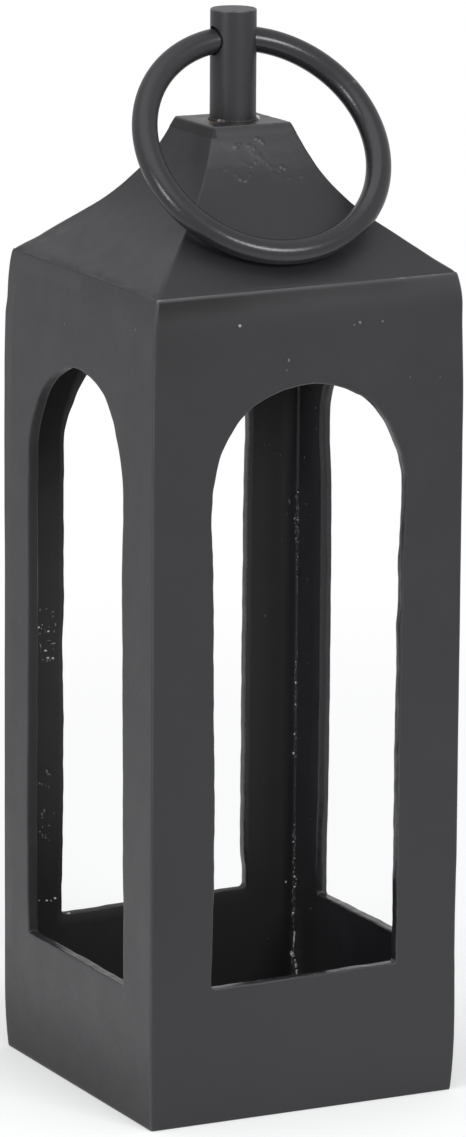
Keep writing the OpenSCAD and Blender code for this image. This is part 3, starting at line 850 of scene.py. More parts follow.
def roof_skin(side, s):
    """A roof plate as a closed sleeve: each row goes across the outer face at one place of the section
    and back across the inner face; the two ends are closed at the eave and under the cap. The hips are
    rounded, and a shallow groove runs along the eave where the seam was ground back."""
    fine = side == 0
    r, h = roof_line(s, 0.0)
    total = np.hypot(np.diff(r), np.diff(h)).sum()
    start = np.array([0, 0.12, 0.25, 0.4, 0.55, 0.75, 1.0, 1.4, 2.0, 3.0]) * MM / total
    rest = np.linspace(4 * MM / total, 1, 46)
    if fine:
        rest = np.concatenate([np.linspace(4 * MM / total, 0.60, 26)[:-1], np.linspace(0.60, 1, 78)])
    shares = np.concatenate([start, rest])
    r, h = along(r, h, shares)
    inner_r, inner_h = along(*roof_line(s, s.roof), shares)
    slope_r, slope_h = np.gradient(r, shares), np.gradient(h, shares)
    size = np.hypot(slope_r, slope_h)
    out_r, out_h = (slope_h / size)[:, None], (-slope_r / size)[:, None]
    up, travel = h[:, None], (shares * total)[:, None]

    def hip(corner):
        """How far the hip over a corner stands out: the corner's stray at the eave, slight waves above,
        and a notch over the back left corner."""
        fade = eased(h, (0, 5 * MM), (1, 0))
        slight = waves(h, SEEDS["hip"] + corner % 4, (0.031, 0.013, 0.0065), (0.12, 0.07, 0.04))
        slight = 0.6 * slight - 0.12
        notch = -0.45 * np.exp(-(((h - 5.2 * MM) / (2.2 * MM)) ** 2)) * (corner == 3)
        return stray(corner, s.body) * fade + (slight * (1 - fade) + notch) * MM

    left, right = hip(side), hip(side + 1)
    soft = ((0.7 + 0.9 * eased(h, (0, 14 * MM), (1, 0))) * MM)[:, None]
    tip = 0.18 * MM * np.maximum(0, 1 - shares * total / (1.2 * MM)) ** 2
    edge = (r - tip)[:, None]
    reach_left, reach_right = edge + left[:, None], edge + right[:, None]
    bends = np.radians([45, 34, 22, 11, 0])
    near_hip = np.concatenate([soft * (1 - np.sin(bends)), soft + np.array([0.9, 2.2]) * MM], 1)
    u_left, u_right = near_hip - reach_left, reach_right - near_hip
    middle = np.linspace(0, 1, 96 if fine else 64)[1:-1]
    between = u_left[:, -1:] + (u_right[:, -1:] - u_left[:, -1:]) * middle
    u = np.concatenate([u_left, between, u_right[:, ::-1]], 1)
    reach = np.where(u < 0, reach_left, reach_right) - np.abs(u)
    share = eased(u / edge, (-1, 1), (0, 1))
    n = reach_left + (right - left)[:, None] * share - rounding(reach, soft)

    # dents, the ground seam and each side's own marks, all square to the face
    calm = eased(reach, (0, 8 * MM), (0, 1)) * eased(h, (0, 3 * MM, 44 * MM, 49 * MM), (0, 1, 1, 0))[:, None]
    broad = dents(u, up, SEEDS["roof_broad"] + side, 30 * MM, 0.10 * MM)
    move = (broad + dents(u, up, SEEDS["roof_small"] + side, 9 * MM, 0.03 * MM)) * calm
    place, wander, wide, deep = (value * MM for value in EAVE_SEAMS[side])
    place = place + wander * waves(u, SEEDS["eave_place"] + side, (0.05, 0.02, 0.008), (0.12, 0.1, 0.05))
    beat = waves(u, SEEDS["eave_depth"] + side, (0.041, 0.017, 0.008), (1.4, 1.0, 0.7))
    strength = 0.55 + 0.45 * np.sin(beat)
    seam = np.exp(-(((travel - place) / wide) ** 2))
    move = move - deep * (0.45 + 0.55 * strength) * seam * np.clip(reach / MM, 0, 1)
    streaks = 0.08 + waves(h, SEEDS["hip_wear"] + side, (0.02, 0.009), (0.05, 0.05))
    worn_and_painted_light = np.exp(-((reach / (0.7 * MM)) ** 2)) * streaks[:, None]
    if fine:
        drops = mounds(u / MM, up / MM, DROPS)
        crease = np.exp(-(((up - (38.2 * MM + 0.012 * u)) / (0.7 * MM)) ** 2))
        move = move + (drops + ridges(u / MM, up / MM, LOOPS) + 0.025 * crease * calm) * MM
        worn_and_painted_light = worn_and_painted_light + np.clip(drops * 1.6 - 0.1, 0, 0.45)
    if side == 2:
        move = move + mounds(u / MM, up / MM, LANDING) * MM
    if side == 3:
        smudges = mounds(u / MM, up / MM, SMUDGES)
        move = move + smudges * MM * np.clip(reach / (2 * MM), 0, 1)
        # painted shade: along the left eave the ground seam's groove is darkened
        worn_and_painted_light = worn_and_painted_light - 0.24 * strength * seam + np.clip(smudges * (0.6 + 1.2 * strength), 0, 0.30)
    outer = turned(u, s.body + up + out_h * move, n + out_r * move, side)

    spread_back = np.linspace(0, 1, u.shape[1])
    wide_back = (2 * inner_r + left + right)[:, None]
    back_u = (inner_r + right)[:, None] - wide_back * spread_back
    back_share = 1 - eased(spread_back, (0, 1), (0, 1))
    back_n = (inner_r + left)[:, None] + (right - left)[:, None] * back_share
    inner = turned(back_u, s.body + inner_h[:, None], back_n, side)
    skin = Skin()
    skin.grid(np.concatenate([outer, inner], 1), np.concatenate([worn_and_painted_light, 0 * worn_and_painted_light - 0.9], 1), around=True)
    for end in (0, -1):
        skin.grid(np.stack([outer[end], inner[end][::-1]]))
    return skin


def square_loop(count, power):
    """A square of half width 1 with slightly rounded corners: a circle of directions, each divided by
    the high-power mean of its two parts, with more points at the corners."""
    slope = spread(count + 1)[:-1] * 2 - 1
    angle = np.concatenate([np.arctan(slope) + k * np.pi / 2 for k in range(4)])
    c, d = np.cos(angle), np.sin(angle)
    size = (np.abs(c) ** power + np.abs(d) ** power) ** (-1 / power)
    return size * c, size * d


def stacked(low, radii, heights, loop, unevenness, level):
    """Points of a square plate: loops of the given half widths at heights above low, from the middle of
    its top to the middle of its underside. Above a level they are dented, by seed, size and depth."""
    x, y = (np.array(radii)[:, None] * part for part in loop)
    heights = np.array(heights)[:, None]
    seed, size, depth = unevenness
    uneven = np.where(heights > level, dents(x, y, seed, size, depth) - depth, 0.0)
    return np.stack([x, y, low + heights + uneven], -1)


def cap_skin(s):
    """The cap plate: square loops from the middle of its top, over the rounded rim, down the sloping
    edge and back to the middle of its underside."""
    low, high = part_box("cap_plate")
    slope = math.tan(s.neck)
    half, thick, rim = high.x, high.z - low.z, 0.35 * MM
    top = half - thick / slope
    radii = list(np.linspace(0, 1, 12)[:-1] * (top - rim))
    heights = [thick] * len(radii)
    for bend in np.radians([0, 22, 45, 67]):
        radii.append(top - rim + rim * math.sin(bend))
        heights.append(thick - rim * (1 - math.cos(bend)))
    for share in (0.75, 0.4, 0.12, 0.0):
        radii.append(half - thick * share / slope - 0.03 * MM)
        heights.append(thick * share)
    radii += [half * 0.6, 0.0]
    heights += [0.0, 0.0]
    unevenness = (SEEDS["cap"], 9 * MM, 0.06 * MM)
    rows = stacked(low.z, radii, heights, square_loop(44, 60), unevenness, 0.8 * thick)
    wear = np.pad([0.2, 0.6, 0.6, 0.3], (len(radii) - 10, 6))[:, None]
    heights = np.array(heights)[:, None]
    # painted shade: the lower part of the cap's left bevel is darkened
    left_edge = (heights < 0.9 * thick) & (rows[..., 0] < -15.5 * MM)
    return Skin().grid(rows, np.where(left_edge, -0.7, wear), 0.2 * (heights > 0.97 * thick), around=True)


def post_skin(s):
    """The post: two half turns of a cylinder, each a sheet round its mouth of the cross-hole, with the
    mouth's lip, half of the bore, half of the rounded rim and top, and half of the foot."""
    low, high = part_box("hanging_post")
    radius, tall = s.post / 2, high.z - low.z
    top = tall - s.rim
    hole, lip = s.hole / 2, 0.3 * MM
    joint = frame["joints"][0]
    centre, axis = Vector(joint["pos_m"]).z - low.z, Vector(joint["axis"])
    yaw = math.atan2(-axis.y, -axis.x)
    quarter = np.pi / 2
    counts = (24, 40, 24, 40)
    shares = [np.linspace(0, 1, count + 1)[:-1] for count in counts]
    phi = np.concatenate([start + quarter * t for start, t in zip(np.radians([225, -45, 45, 135]), shares)])
    a, b, c, d = shares
    sheet_turn = np.concatenate(
        [2 * quarter * a - quarter, quarter + 0 * b, quarter - 2 * quarter * c, 0 * d - quarter]
    )
    sheet_z = np.concatenate([0 * a, top * b, top + 0 * c, top - top * d])
    skin = Skin()

    def bow(z):
        """How far the surface strays from a true cylinder, by height."""
        return waves(z, SEEDS["post"], (0.03, 0.012), (0.015 * MM, 0.01 * MM)) - 0.025 * MM

    def mouth(rho):
        """Turn and height of a circle round the hole's middle."""
        return np.arcsin(np.clip(rho * np.cos(phi) / radius, -1, 1)), centre + rho * np.sin(phi)

    for facing in (yaw, yaw + math.pi):

        def place(turn, z, r):
            """Points at a turn away from the way that the hole faces, a height and a distance."""
            x, y = r * np.cos(facing + turn), r * np.sin(facing + turn)
            return np.stack(np.broadcast_arrays(x, y, low.z + z), -1)

        rows, wear = [], []
        lip_turn, lip_z = mouth(hole + lip)
        for t in np.linspace(0, 1, 16):
            z = sheet_z + (lip_z - sheet_z) * t
            rows.append(place(sheet_turn + (lip_turn - sheet_turn) * t, z, radius + bow(z)))
            wear.append(0.0)
        for bend in np.radians([25, 50, 75, 90]):
            turn, z = mouth(hole + lip * (1 - math.sin(bend)))
            rows.append(place(turn, z, radius + bow(z) - lip * (1 - math.cos(bend))))
            wear.append(0.5 * math.sin(2 * bend))
        side_on, upward = hole * np.cos(phi), hole * np.sin(phi)
        for depth in (0.6, 0.3, 0.0):
            inward = np.sqrt(radius**2 - side_on**2) * depth
            x = inward * math.cos(facing) - side_on * math.sin(facing)
            y = inward * math.sin(facing) + side_on * math.cos(facing)
            rows.append(np.stack([x, y, low.z + centre + upward], -1))
            wear.append(0.0)
        skin.grid(np.stack(rows), np.array(wear)[:, None], around=True)
        turn = quarter * (1 - 2 * np.linspace(0, 1, counts[2] + 1))
        bends = np.radians([0, 20, 45, 70, 90])
        rim = [(radius + bow(top) - s.rim * (1 - math.cos(b)), top + s.rim * math.sin(b)) for b in bends]
        disc = [(radius * f + bow(top), tall) for f in (0.8, 0.5, 0.25)] + [(0.0, tall)]
        worn_and_painted_light = np.array([0.2, 0.8, 1.0, 0.7, 0.2, 0, 0, 0, 0])
        skin.grid(np.stack([place(turn, z, r) for r, z in rim + disc]), worn_and_painted_light[:, None])
        foot = radius + bow(0.0)
        skin.grid(np.stack([place(-turn, 0.0, foot * f) for f in (1.0, 0.5, 0.0)]))
    return skin


# ---------------------------------------------------------------- ring and welds


def ring_axes():
    """Middle of the ring at rest, and its directions: across, downhill, and square to it."""
    hook = next(m for m in frame["record"]["mounts"] if m["name"] == "ring_hook")
    middle, square = Vector(hook["pos_m"]), Vector(hook["axis"]).normalized()
    downhill = (middle - Vector(frame["joints"][0]["pos_m"])).normalized()
    downhill = (downhill - square * downhill.dot(square)).normalized()
    across = downhill.cross(square).normalized()
    if across.x < 0:
        across = -across
    return [np.array(v) for v in (middle, across, downhill, square)]


def circle(count):
    """Angles round a full turn."""
    return np.linspace(0, 2 * np.pi, count + 1)[:-1]


def ring_points(turn, around, bar, s):
    """A round bar bent into a ring: turn goes round the ring from its right-hand side downhill, around
    goes round the bar, and bar is the bar's radius there."""
    middle, across, downhill, square = ring_axes()
    out = np.cos(turn)[..., None] * across + np.sin(turn)[..., None] * downhill
    spoke = s.ring / 2 + bar * np.cos(around)
    return middle + spoke[..., None] * out + (bar * np.sin(around))[..., None] * square


def ring_skin(s):
    """The carrying ring, with slight flats and thin places left by bending and filing its bar."""
    turn, around = np.meshgrid(circle(360), circle(40), indexing="ij")
    thin = waves(turn, SEEDS["ring"], 2 * np.pi / np.array([3, 7, 16]), (0.012, 0.008, 0.005))
    lumps = waves(around, SEEDS["ring_bar"], 2 * np.pi / np.array([2, 3, 5]), (0.008, 0.006, 0.004))
    bar = s.bar / 2 - 0.01 * MM * (1 + 20 * thin + 30 * lumps)
    filed = 1 - 0.7 * eased(turn, np.radians([165, 185, 240, 262]), (0, 1, 1, 0))
    return Skin().grid(ring_points(turn, around, bar, s), 0.0, filed, around=True, up=True)


def ring_weld_skin(s):
    """The dressed weld that closes the ring: a collar whose height is a bell along the ring, with
    lumps and a pit, and whose ends run into the bar."""
    place, half = math.radians(-28.0), math.radians(2.9)
    length_share, around = np.meshgrid(np.linspace(-1, 1, 21), circle(48), indexing="ij")
    lumps = 0.75 + 0.25 * np.sin(3 * around + 5 * length_share) * np.cos(2 * around - 1.0)
    bar = s.bar / 2 + 0.07 * MM * np.clip(1 - length_share**2, 0, 1) ** 0.8 * lumps - 0.04 * MM
    bar[[0, -1]] = s.bar / 2 - 0.4 * MM
    points = ring_points(place + half * length_share, around, bar, s)
    spot = np.exp(-(((around - 1.0) / 0.35) ** 2) - (length_share / 0.3) ** 2)
    return Skin().grid(capped(points), np.pad(spot, ((1, 1), (0, 0))), 1.0, around=True)


# Drops on the back right seam, in millimetres: height, offset to the right, radius, stretch and how bright
# its painted glint is
BEADS = (
    (139.9, 0.0, 0.35, 1.2, 0.5), (131.7, 0.0, 0.45, 1.3, 0.9), (123.0, 0.0, 0.42, 1.1, 0.8),
    (111.2, -0.3, 0.42, 1.2, 0.9), (103.6, -0.6, 0.50, 1.2, 1.0), (137.0, -0.2, 0.25, 1.5, 0.3),
    (128.0, 0.1, 0.2, 1.5, 0.3), (110.0, 0.9, 0.25, 1.0, 0.4), (74.8, 0.0, 0.3, 1.0, 0.5),
    (68.0, -0.4, 0.42, 1.0, 0.8), (64.5, 0.1, 0.3, 1.2, 0.4), (61.5, 0.3, 0.35, 1.2, 0.6),
    (59.6, -0.2, 0.40, 0.8, 0.4), (57.7, 0.4, 0.36, 0.8, 0.5), (55.9, -0.1, 0.42, 0.8, 0.4),
    (54.1, 0.6, 0.50, 1.0, 0.9), (53.4, 2.0, 0.4, 1.0, 0.5), (52.2, -3.6, 0.45, 1.2, 0.7),
    (51.5, 1.6, 0.35, 1.0, 0.5), (50.0, 0.5, 0.50, 1.0, 0.9), (39.2, -0.2, 0.55, 1.1, 1.0),
    (36.0, 0.0, 0.3, 1.4, 0.3), (31.0, 0.8, 0.40, 3.2, 0.9), (28.6, 0.4, 0.42, 4.5, 1.0),
    (26.0, 0.0, 0.34, 3.0, 0.5), (22.8, -0.5, 0.9, 1.0, 1.0), (22.1, -0.1, 0.8, 0.8, 1.0),
    (23.6, -0.9, 0.5, 1.0, 0.6), (20.4, 1.4, 0.45, 1.6, 0.5), (18.6, 2.3, 0.55, 1.9, 1.0),
    (16.4, 3.0, 0.55, 1.8, 0.8), (14.6, 3.2, 0.65, 1.7, 1.0), (13.0, 2.6, 0.75, 1.1, 1.0),
)

# How busily the corner seams were welded, by height
BUSY = (
    (0.010, 0.014, 0.040, 0.050, 0.070, 0.078, 0.098, 0.104, 0.140, 0.150, 0.172, 0.180, 0.204, 0.212, 0.30),
    (0.9, 1.0, 1.0, 0.8, 0.9, 0.25, 0.3, 0.8, 0.6, 0.2, 0.3, 0.9, 0.8, 0.15, 0.1),
)


def tube(reach, angle, behind, beneath):
    """Section of a seam between two faces square to each other: a lobe that stands out by reach over the
    angles, closed by a point behind both faces. Gives the distances from the one and from the other."""
    closing = np.ones((len(reach), 1)) * MM
    out = np.concatenate([reach * np.cos(angle), -behind * closing], 1)
    down = np.concatenate([reach * np.sin(angle), -beneath * closing], 1)
    return out, down


def corner_bead(corner, s):
    """A weld bead up an inner corner: a tube whose section is a quarter lobe between the two walls, its
    reach a sum of even ripples and of clusters of drops at seeded heights."""
    low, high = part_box(f"corner_weld_{CORNERS[corner]}")
    z = np.linspace(low.z, high.z, 620)
    up, angle = np.meshgrid(z, np.radians(np.linspace(-12, 102, 15)), indexing="ij")
    busy = eased(z, *BUSY)[:, None]
    rng = np.random.default_rng(SEEDS["corner_drops"] + corner)
    count = 190
    drop_z = rng.uniform(low.z, high.z, count)
    drop_angle = np.radians(rng.uniform(5, 85, count))
    drop_wide = rng.uniform(0.4, 1.0, count) * MM
    drop_high = rng.uniform(0.1, 0.5, count) * np.interp(drop_z, z, busy[:, 0])
    along_it = (up[..., None] - drop_z) / drop_wide
    round_it = (angle[..., None] - drop_angle) / 0.32
    bumps = (drop_high * np.exp(-(along_it**2) - round_it**2)).sum(-1)
    bent = 1.2 * np.sin(up / (7 * MM)) - 1.5 * np.sin(angle * 2)
    ripple = 0.10 * np.sin(2 * np.pi * up / (2.3 * MM) + bent)
    snake = waves(z, SEEDS["corner_snake"] + corner, (0.013, 0.0057), (0.14, 0.08))
    snake = snake[:, None] * (busy * 0.8 + 0.2)
    lobe = (0.15 + 0.05 * busy) / np.cos(angle - np.pi / 4)
    lobe = lobe + 0.3 * ripple * busy + 0.4 * np.clip(bumps, 0, 1)
    reach = s.bead * lobe * (1 + snake * np.sin(2 * angle))
    p, q = tube(reach, angle, 0.5, 0.5)
    face = (wall_line(z, s) + stray(corner, z) - s.wall)[:, None]
    sign_x, sign_y = CORNER_SIGNS[corner]
    points = np.stack(np.broadcast_arrays(sign_x * (face - p), sign_y * (face - q), z[:, None]), -1)
    # painted glints on the bumps of the bead
    wear = np.pad(np.clip(bumps * 0.5, 0.0, 0.25), ((1, 1), (0, 1)))
    return Skin().grid(capped(points), wear, around=True)


def eave_bead(s):
    """The seam under the eave: a tube carried along a square, lying in the angle between the walls'
    inner faces and the roof plates' undersides, with ripples along its length."""
    low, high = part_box("eave_weld")
    x, y = square_loop(150, 200)
    run = 2 * np.pi * np.linspace(0, 1, len(x) + 1)[:-1, None]
    reach = (high.z - low.z) * 0.85 * (1 + 0.12 * np.sin(run * 170) + 0.1 * np.sin(run * 31))
    inward, down = tube(reach, np.radians(np.linspace(-10, 100, 8)), 0.4, 0.1)
    half = high.x - inward
    points = np.stack([half * x[:, None], half * y[:, None], s.body - down], -1)
    return Skin().grid(points, around=True, up=True)


def tack_beads(s):
    """Tacks under the floor plate, one at the middle of each side: short tubes in the angle between
    wall and plate, swelling towards their middles."""
    high = corner_of("floor_tacks", True)
    face = wall_line(high.z, s) - s.wall
    skin = Skin()
    t = np.linspace(-1, 1, 40)[:, None]
    for side in range(4):
        ripple = 1 + 0.15 * np.sin(t * 26 + side) + 0.1 * np.sin(t * 11)
        reach = 1.7 * MM * ripple * np.clip(1 - t**8, 0, 1)
        inward, down = tube(reach, np.radians(np.linspace(-10, 100, 8)), 0.2, 0.05)
        skin.grid(capped(turned(12 * MM * t, high.z - down, face - inward, side)), 0.2, around=True)
    return skin


# Larger drops on the fillet round the post's foot: direction, half width and how much they add
FOOT_DROPS = ((-0.45, 0.15, 1.5), (-0.05, 0.13, 0.9), (-2.6, 0.25, 0.3), (-1.2, 0.12, 0.2), (1.9, 0.3, 0.3))


def foot_bead(s):
    """The fillet round the post's foot: a closed tube turned about the post, with ripples and a few
    larger drops at its right and its left."""
    turn = circle(240)[:, None]
    size = 1.05 + 0.12 * np.sin(turn * 23 + np.sin(turn * 5)) + 0.10 * np.sin(turn * 7 + 1)
    for where, wide, more in FOOT_DROPS:
        gap = np.angle(np.exp(1j * (turn - where)))
        size = size + more * np.exp(-((gap / wide) ** 2))
    reach = np.minimum(0.55 * MM * size, 1.5 * MM)
    out, up = tube(reach, np.radians(np.linspace(-8, 98, 9)), 0.4, 0.15)
    out, up = out + s.post / 2 - 0.05 * MM, up + corner_of("post_weld", False).z
    points = np.stack([out * np.cos(turn), out * np.sin(turn), up], -1)
    wear = np.clip(size - 1.2, 0, 1) * np.append(np.ones(9), 0)
    return Skin().grid(points, wear, around=True, up=True)


def floor_skin():
    """The floor plate: square loops from the middle of its top over a rounded edge to the middle of its
    underside, with slight dents on top."""
    low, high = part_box("floor_plate")
    half, thick, rim = high.x, high.z - low.z, 0.5 * MM
    radii = list(np.linspace(0, 1, 26)[:-1] * (half - rim))
    heights = [thick] * len(radii)
    for bend in np.radians([0, 30, 60, 90]):
        radii.append(half - rim + rim * math.sin(bend))
        heights.append(thick - rim + rim * math.cos(bend))
    radii += [half, half - rim, half * 0.5, 0.0]
    heights += [rim, 0.0, 0.0, 0.0]
    wear = np.pad([0.3, 0.6, 0.6, 0.3], (25, 4))[:, None]
    unevenness = (SEEDS["floor"], 40 * MM, 0.12 * MM)
    rows = stacked(low.z, radii, heights, square_loop(40, 120), unevenness, thick - HAIR)
    return Skin().grid(rows, wear, around=True)


def drop_skin(s):
    """Drops of weld metal on the corner seams: round beads, each a stack of circles, drawn out along the
    seam; a table gives the back right corner's, and seeded numbers the rest."""
    rng = np.random.default_rng(SEEDS["drops"])

    def scatter(count, heights, aside, sizes, stretches, brightness):
        """Seeded drops, within limits."""
        columns = [rng.uniform(*heights, count), rng.normal(0, aside, count)]
        columns += [rng.uniform(*limits, count) for limits in (sizes, stretches, brightness)]
        return np.stack(columns, 1)

    upper = scatter(70, (173, 208), 0.75, (0.18, 0.36), (0.5, 1.2), (0, 1))
    upper[:, 4] = upper[:, 4] ** 2 * 0.8
    tables = {2: np.concatenate([np.array(BEADS), upper])}
    for corner in (0, 1, 3):
        tables[corner] = scatter(46, (14, 215), 0.5, (0.25, 0.7), (0.8, 1.8), (0.1, 0.7))
    skin = Skin()
    ring, bend = circle(10), np.radians([-90, -60, -30, 0, 30, 60, 90])[:, None]
    for corner, table in tables.items():
        z, across, size, long, painted_light_and_wear = (table * (MM, MM, MM, 1, 1)).T[..., None, None]
        face = wall_line(z, s) + stray(corner, z) - s.wall - 0.35 * MM - 0.2 * size
        sign_x, sign_y = CORNER_SIGNS[corner]
        x = sign_x * (face + np.minimum(across, 0)) + size * np.cos(bend) * np.cos(ring)
        y = sign_y * (face - np.maximum(across, 0)) + size * np.cos(bend) * np.sin(ring)
        points = np.stack(np.broadcast_arrays(x, y, z + size * long * np.sin(bend)), -1)
        skin.grid(points, painted_light_and_wear, around=True)
    return skin


# Spatter at the left of the back wall's inner face, in millimetres: across, up, radius, stretch, brightness
# of its painted glint
SPATTER = (
    (50.9, 164.0, 0.60, 0.8, 1.0), (49.5, 164.8, 0.42, 0.8, 0.7), (49.8, 163.4, 0.35, 1.0, 0.5),
    (46.9, 162.1, 0.75, 0.6, 0.9), (50.2, 156.9, 0.40, 1.1, 0.5), (48.1, 154.7, 0.80, 0.55, 1.0),
    (47.1, 151.8, 0.75, 0.55, 0.9), (45.0, 151.4, 0.65, 0.8, 0.9), (44.9, 157.2, 1.30, 0.25, 0.35),
    (46.8, 158.5, 1.20, 0.25, 0.25), (47.9, 170.9, 0.80, 0.4, 0.2), (45.1, 169.5, 0.80, 0.5, 0.2),
    (49.6, 89.4, 0.50, 0.7, 0.4), (50.4, 84.0, 0.45, 0.8, 0.4), (47.9, 81.3, 0.55, 0.6, 0.3),
    (46.6, 86.0, 0.60, 0.5, 0.25), (50.7, 56.9, 0.50, 0.8, 0.4), (47.5, 56.5, 0.70, 0.7, 0.9),
    (45.7, 56.2, 0.55, 0.7, 0.6), (44.0, 57.0, 0.75, 0.7, 1.0), (38.3, 50.3, 0.95, 0.4, 0.8),
)

# Strewn spatter, in millimetres: side, how many, across from and to, up from and to, and how bright
# their painted glints are
PATCHES = (
    (2, 34, 43, 51, 150, 171, 0.2), (2, 10, 46, 51, 101, 109, 0.25), (2, 14, 43, 50, 80, 92, 0.2),
    (2, 26, -57, -44, 12, 250, 0.12), (1, 30, 44, 57, 12, 250, 0.12), (0, 20, 44, 57, 15, 280, 0.15),
    (3, 20, -57, -44, 15, 280, 0.15),
)


def spatter_skin(s):
    """Weld spatter inside the body: low domes, each a cap of latitude rings, scattered on the inner
    faces beside the seams by seeded numbers, and on the back wall by a table as well."""
    rng = np.random.default_rng(SEEDS["spatter"])
    side = np.concatenate([np.full(p[1], p[0]) for p in PATCHES])
    u = np.concatenate([rng.uniform(p[2], p[3], p[1]) for p in PATCHES])
    z = np.concatenate([rng.uniform(p[4], p[5], p[1]) for p in PATCHES])
    painted_light_and_wear = np.concatenate([p[6] * rng.uniform(0, 1, p[1]) ** 1.6 for p in PATCHES])
    size = rng.uniform(0.24, 0.62, len(side))
    tall = 0.25 + size * rng.uniform(0.5, 0.8, len(side))
    long = rng.uniform(0.8, 2.0, len(side))
    table = np.array(SPATTER)
    side = np.concatenate([side, np.full(len(table), 2)])
    scattered = np.stack([u, z, size, long, painted_light_and_wear, tall], 1)
    told = np.concatenate([table, 0.25 + 0.6 * table[:, 2:3]], 1)
    columns = np.concatenate([scattered, told]) * (MM, MM, MM, 1, 1, MM)
    ring, bend = circle(8), np.radians([0, 35, 62, 90])[:, None]
    skin = Skin()
    for k in range(4):
        u, z, size, long, painted_light_and_wear, tall = columns[side == k].T[..., None, None]
        face = wall_line(z, s) - s.wall + 0.25 * MM
        across = u + size * np.cos(bend) * np.cos(ring)
        up = z + size * long * np.cos(bend) * np.sin(ring)
        domes = turned(across, up, face - tall * np.sin(bend), k)
        under = np.broadcast_to(domes[:, :1].mean(2, keepdims=True), domes[:, :1].shape)
        skin.grid(np.concatenate([under, domes], 1), painted_light_and_wear, around=True)
    return skin


# ---------------------------------------------------------------- operators

# Brown stains left by welding heat, as (x, y, z, radius, strength): at the foot of the back right
# corner, on the cap plate round the post, and on the post. The last two start at the cap's top.
BACK_RIGHT_FOOT = ((0.059, 0.056, 0.025, 0.075, 0.05),)
CAP_STAINS = (
    (-0.0095, 0.003, 0, 0.006, 1.0), (-0.0108, -0.005, 0, 0.005, 0.7), (-0.004, -0.0120, 0, 0.0045, 0.45),
    (0.004, -0.0125, 0, 0.0035, 0.25),
)
POST_STAINS = ((-0.008, 0.001, 0, 0.005, 0.25),)


class MakeLantern:
    """What the operators share: they can be undone, and they work on the scene's sizes."""

    bl_options = {"REGISTER", "UNDO"}


class LANTERN_OT_walls(MakeLantern, bpy.types.Operator):
    """Makes the four wall plates with their arched windows"""

    bl_idname = "lantern.walls"
    bl_label = "Walls"

    def execute(self, context):
        s = context.scene.lantern_sizes
        for side, name in enumerate(SIDES):
            u, z, radius, strength = np.array(PITS[side]).T * np.array([MM, MM, MM, 1])[:, None]
            spots = turned(u, z, wall_out(u, z, side, s), side)
            marks = np.column_stack([spots, radius, strength]).tolist()
            stains = BACK_RIGHT_FOOT if name in ("right", "back") else ()
            material = coat(f"{name}_wall_coat", seed=0.31 * side, marks=marks, scorched=stains)
            piece(f"wall_{name}", wall_skin(side, s), material, "lantern", "wall_metal", f"{name}_wall")
        return {"FINISHED"}


class LANTERN_OT_roof(MakeLantern, bpy.types.Operator):
    """Makes the four roof plates"""

    bl_idname = "lantern.roof"
    bl_label = "Roof"

    def execute(self, context):
        s = context.scene.lantern_sizes
        for side, name in enumerate(SIDES):
            dull = (0.318, 0.352) if name == "left" else None
            material = coat(f"{name}_roof_coat", seed=1.7 + 0.31 * side, dull=dull)
            piece(f"roof_plate_{name}", roof_skin(side, s), material, "lantern", "roof_metal", f"roof_{name}")
        return {"FINISHED"}


class LANTERN_OT_cap_and_post(MakeLantern, bpy.types.Operator):
    """Makes the cap plate, the post and the fillet round the post's foot"""

    bl_idname = "lantern.cap_and_post"
    bl_label = "Cap and post"

    def execute(self, context):
        s = context.scene.lantern_sizes
        top = corner_of("cap_plate", True).z
        cap_stains, post_stains = (
            [(x, y, z + top, *rest) for x, y, z, *rest in stains] for stains in (CAP_STAINS, POST_STAINS)
        )
        cap = coat("cap_coat", seed=1.7, scorched=cap_stains)
        piece("cap", cap_skin(s), cap, "lantern", "cap_metal", "cap_plate")
        post = coat("post_coat", seed=3.9, scorched=post_stains)
        piece("post", post_skin(s), post, "lantern", "post_metal", "hanging_post")
        bead = bead_metal("foot_bead_metal", scorch=0.12)
        piece("post_foot_bead", foot_bead(s), bead, "lantern", "foot_weld_metal", "post_weld")
        return {"FINISHED"}


class LANTERN_OT_ring(MakeLantern, bpy.types.Operator):
    """Makes the carrying ring and the weld that closes it"""

    bl_idname = "lantern.ring"
    bl_label = "Ring"

    def execute(self, context):
        s = context.scene.lantern_sizes
        ring = coat("ring_coat", seed=5.3, rough=0.01)
        piece("ring", ring_skin(s), ring, "ring", "ring_metal", "carrying_ring")
        weld = coat("ring_weld_coat", seed=5.3, rough=0.01, wear=0.9)
        piece("ring_closing_weld", ring_weld_skin(s), weld, "ring", "ring_weld_metal", "ring_weld")
        return {"FINISHED"}


class LANTERN_OT_seams(MakeLantern, bpy.types.Operator):
    """Makes the weld seams inside the body and their spatter"""

    bl_idname = "lantern.seams"
    bl_label = "Seams"

    def execute(self, context):
        s = context.scene.lantern_sizes
        metal = bead_metal("seam_bead_metal")
        seams = [(f"seam_{name}", corner_bead(k, s), f"corner_weld_{name}") for k, name in enumerate(CORNERS)]
        seams += [
            ("seam_under_eave", eave_bead(s), "eave_weld"),
            ("tacks_under_floor", tack_beads(s), "floor_tacks"),
            ("weld_spatter", spatter_skin(s)),
            ("weld_drops", drop_skin(s)),
        ]
        for name, skin, *nodes in seams:
            piece(name, skin, metal, "lantern", "seam_metal", *nodes, crease=60)
        return {"FINISHED"}


class LANTERN_OT_floor_plate(MakeLantern, bpy.types.Operator):
    """Makes the floor plate that the candle stands on"""

    bl_idname = "lantern.floor_plate"
    bl_label = "Floor plate"

    def execute(self, context):
        material = coat("floor_plate_coat", seed=7.7, rough=0.08, shade=0.9)
        piece("floor", floor_skin(), material, "lantern", "floor_metal", "floor_plate")
        return {"FINISHED"}


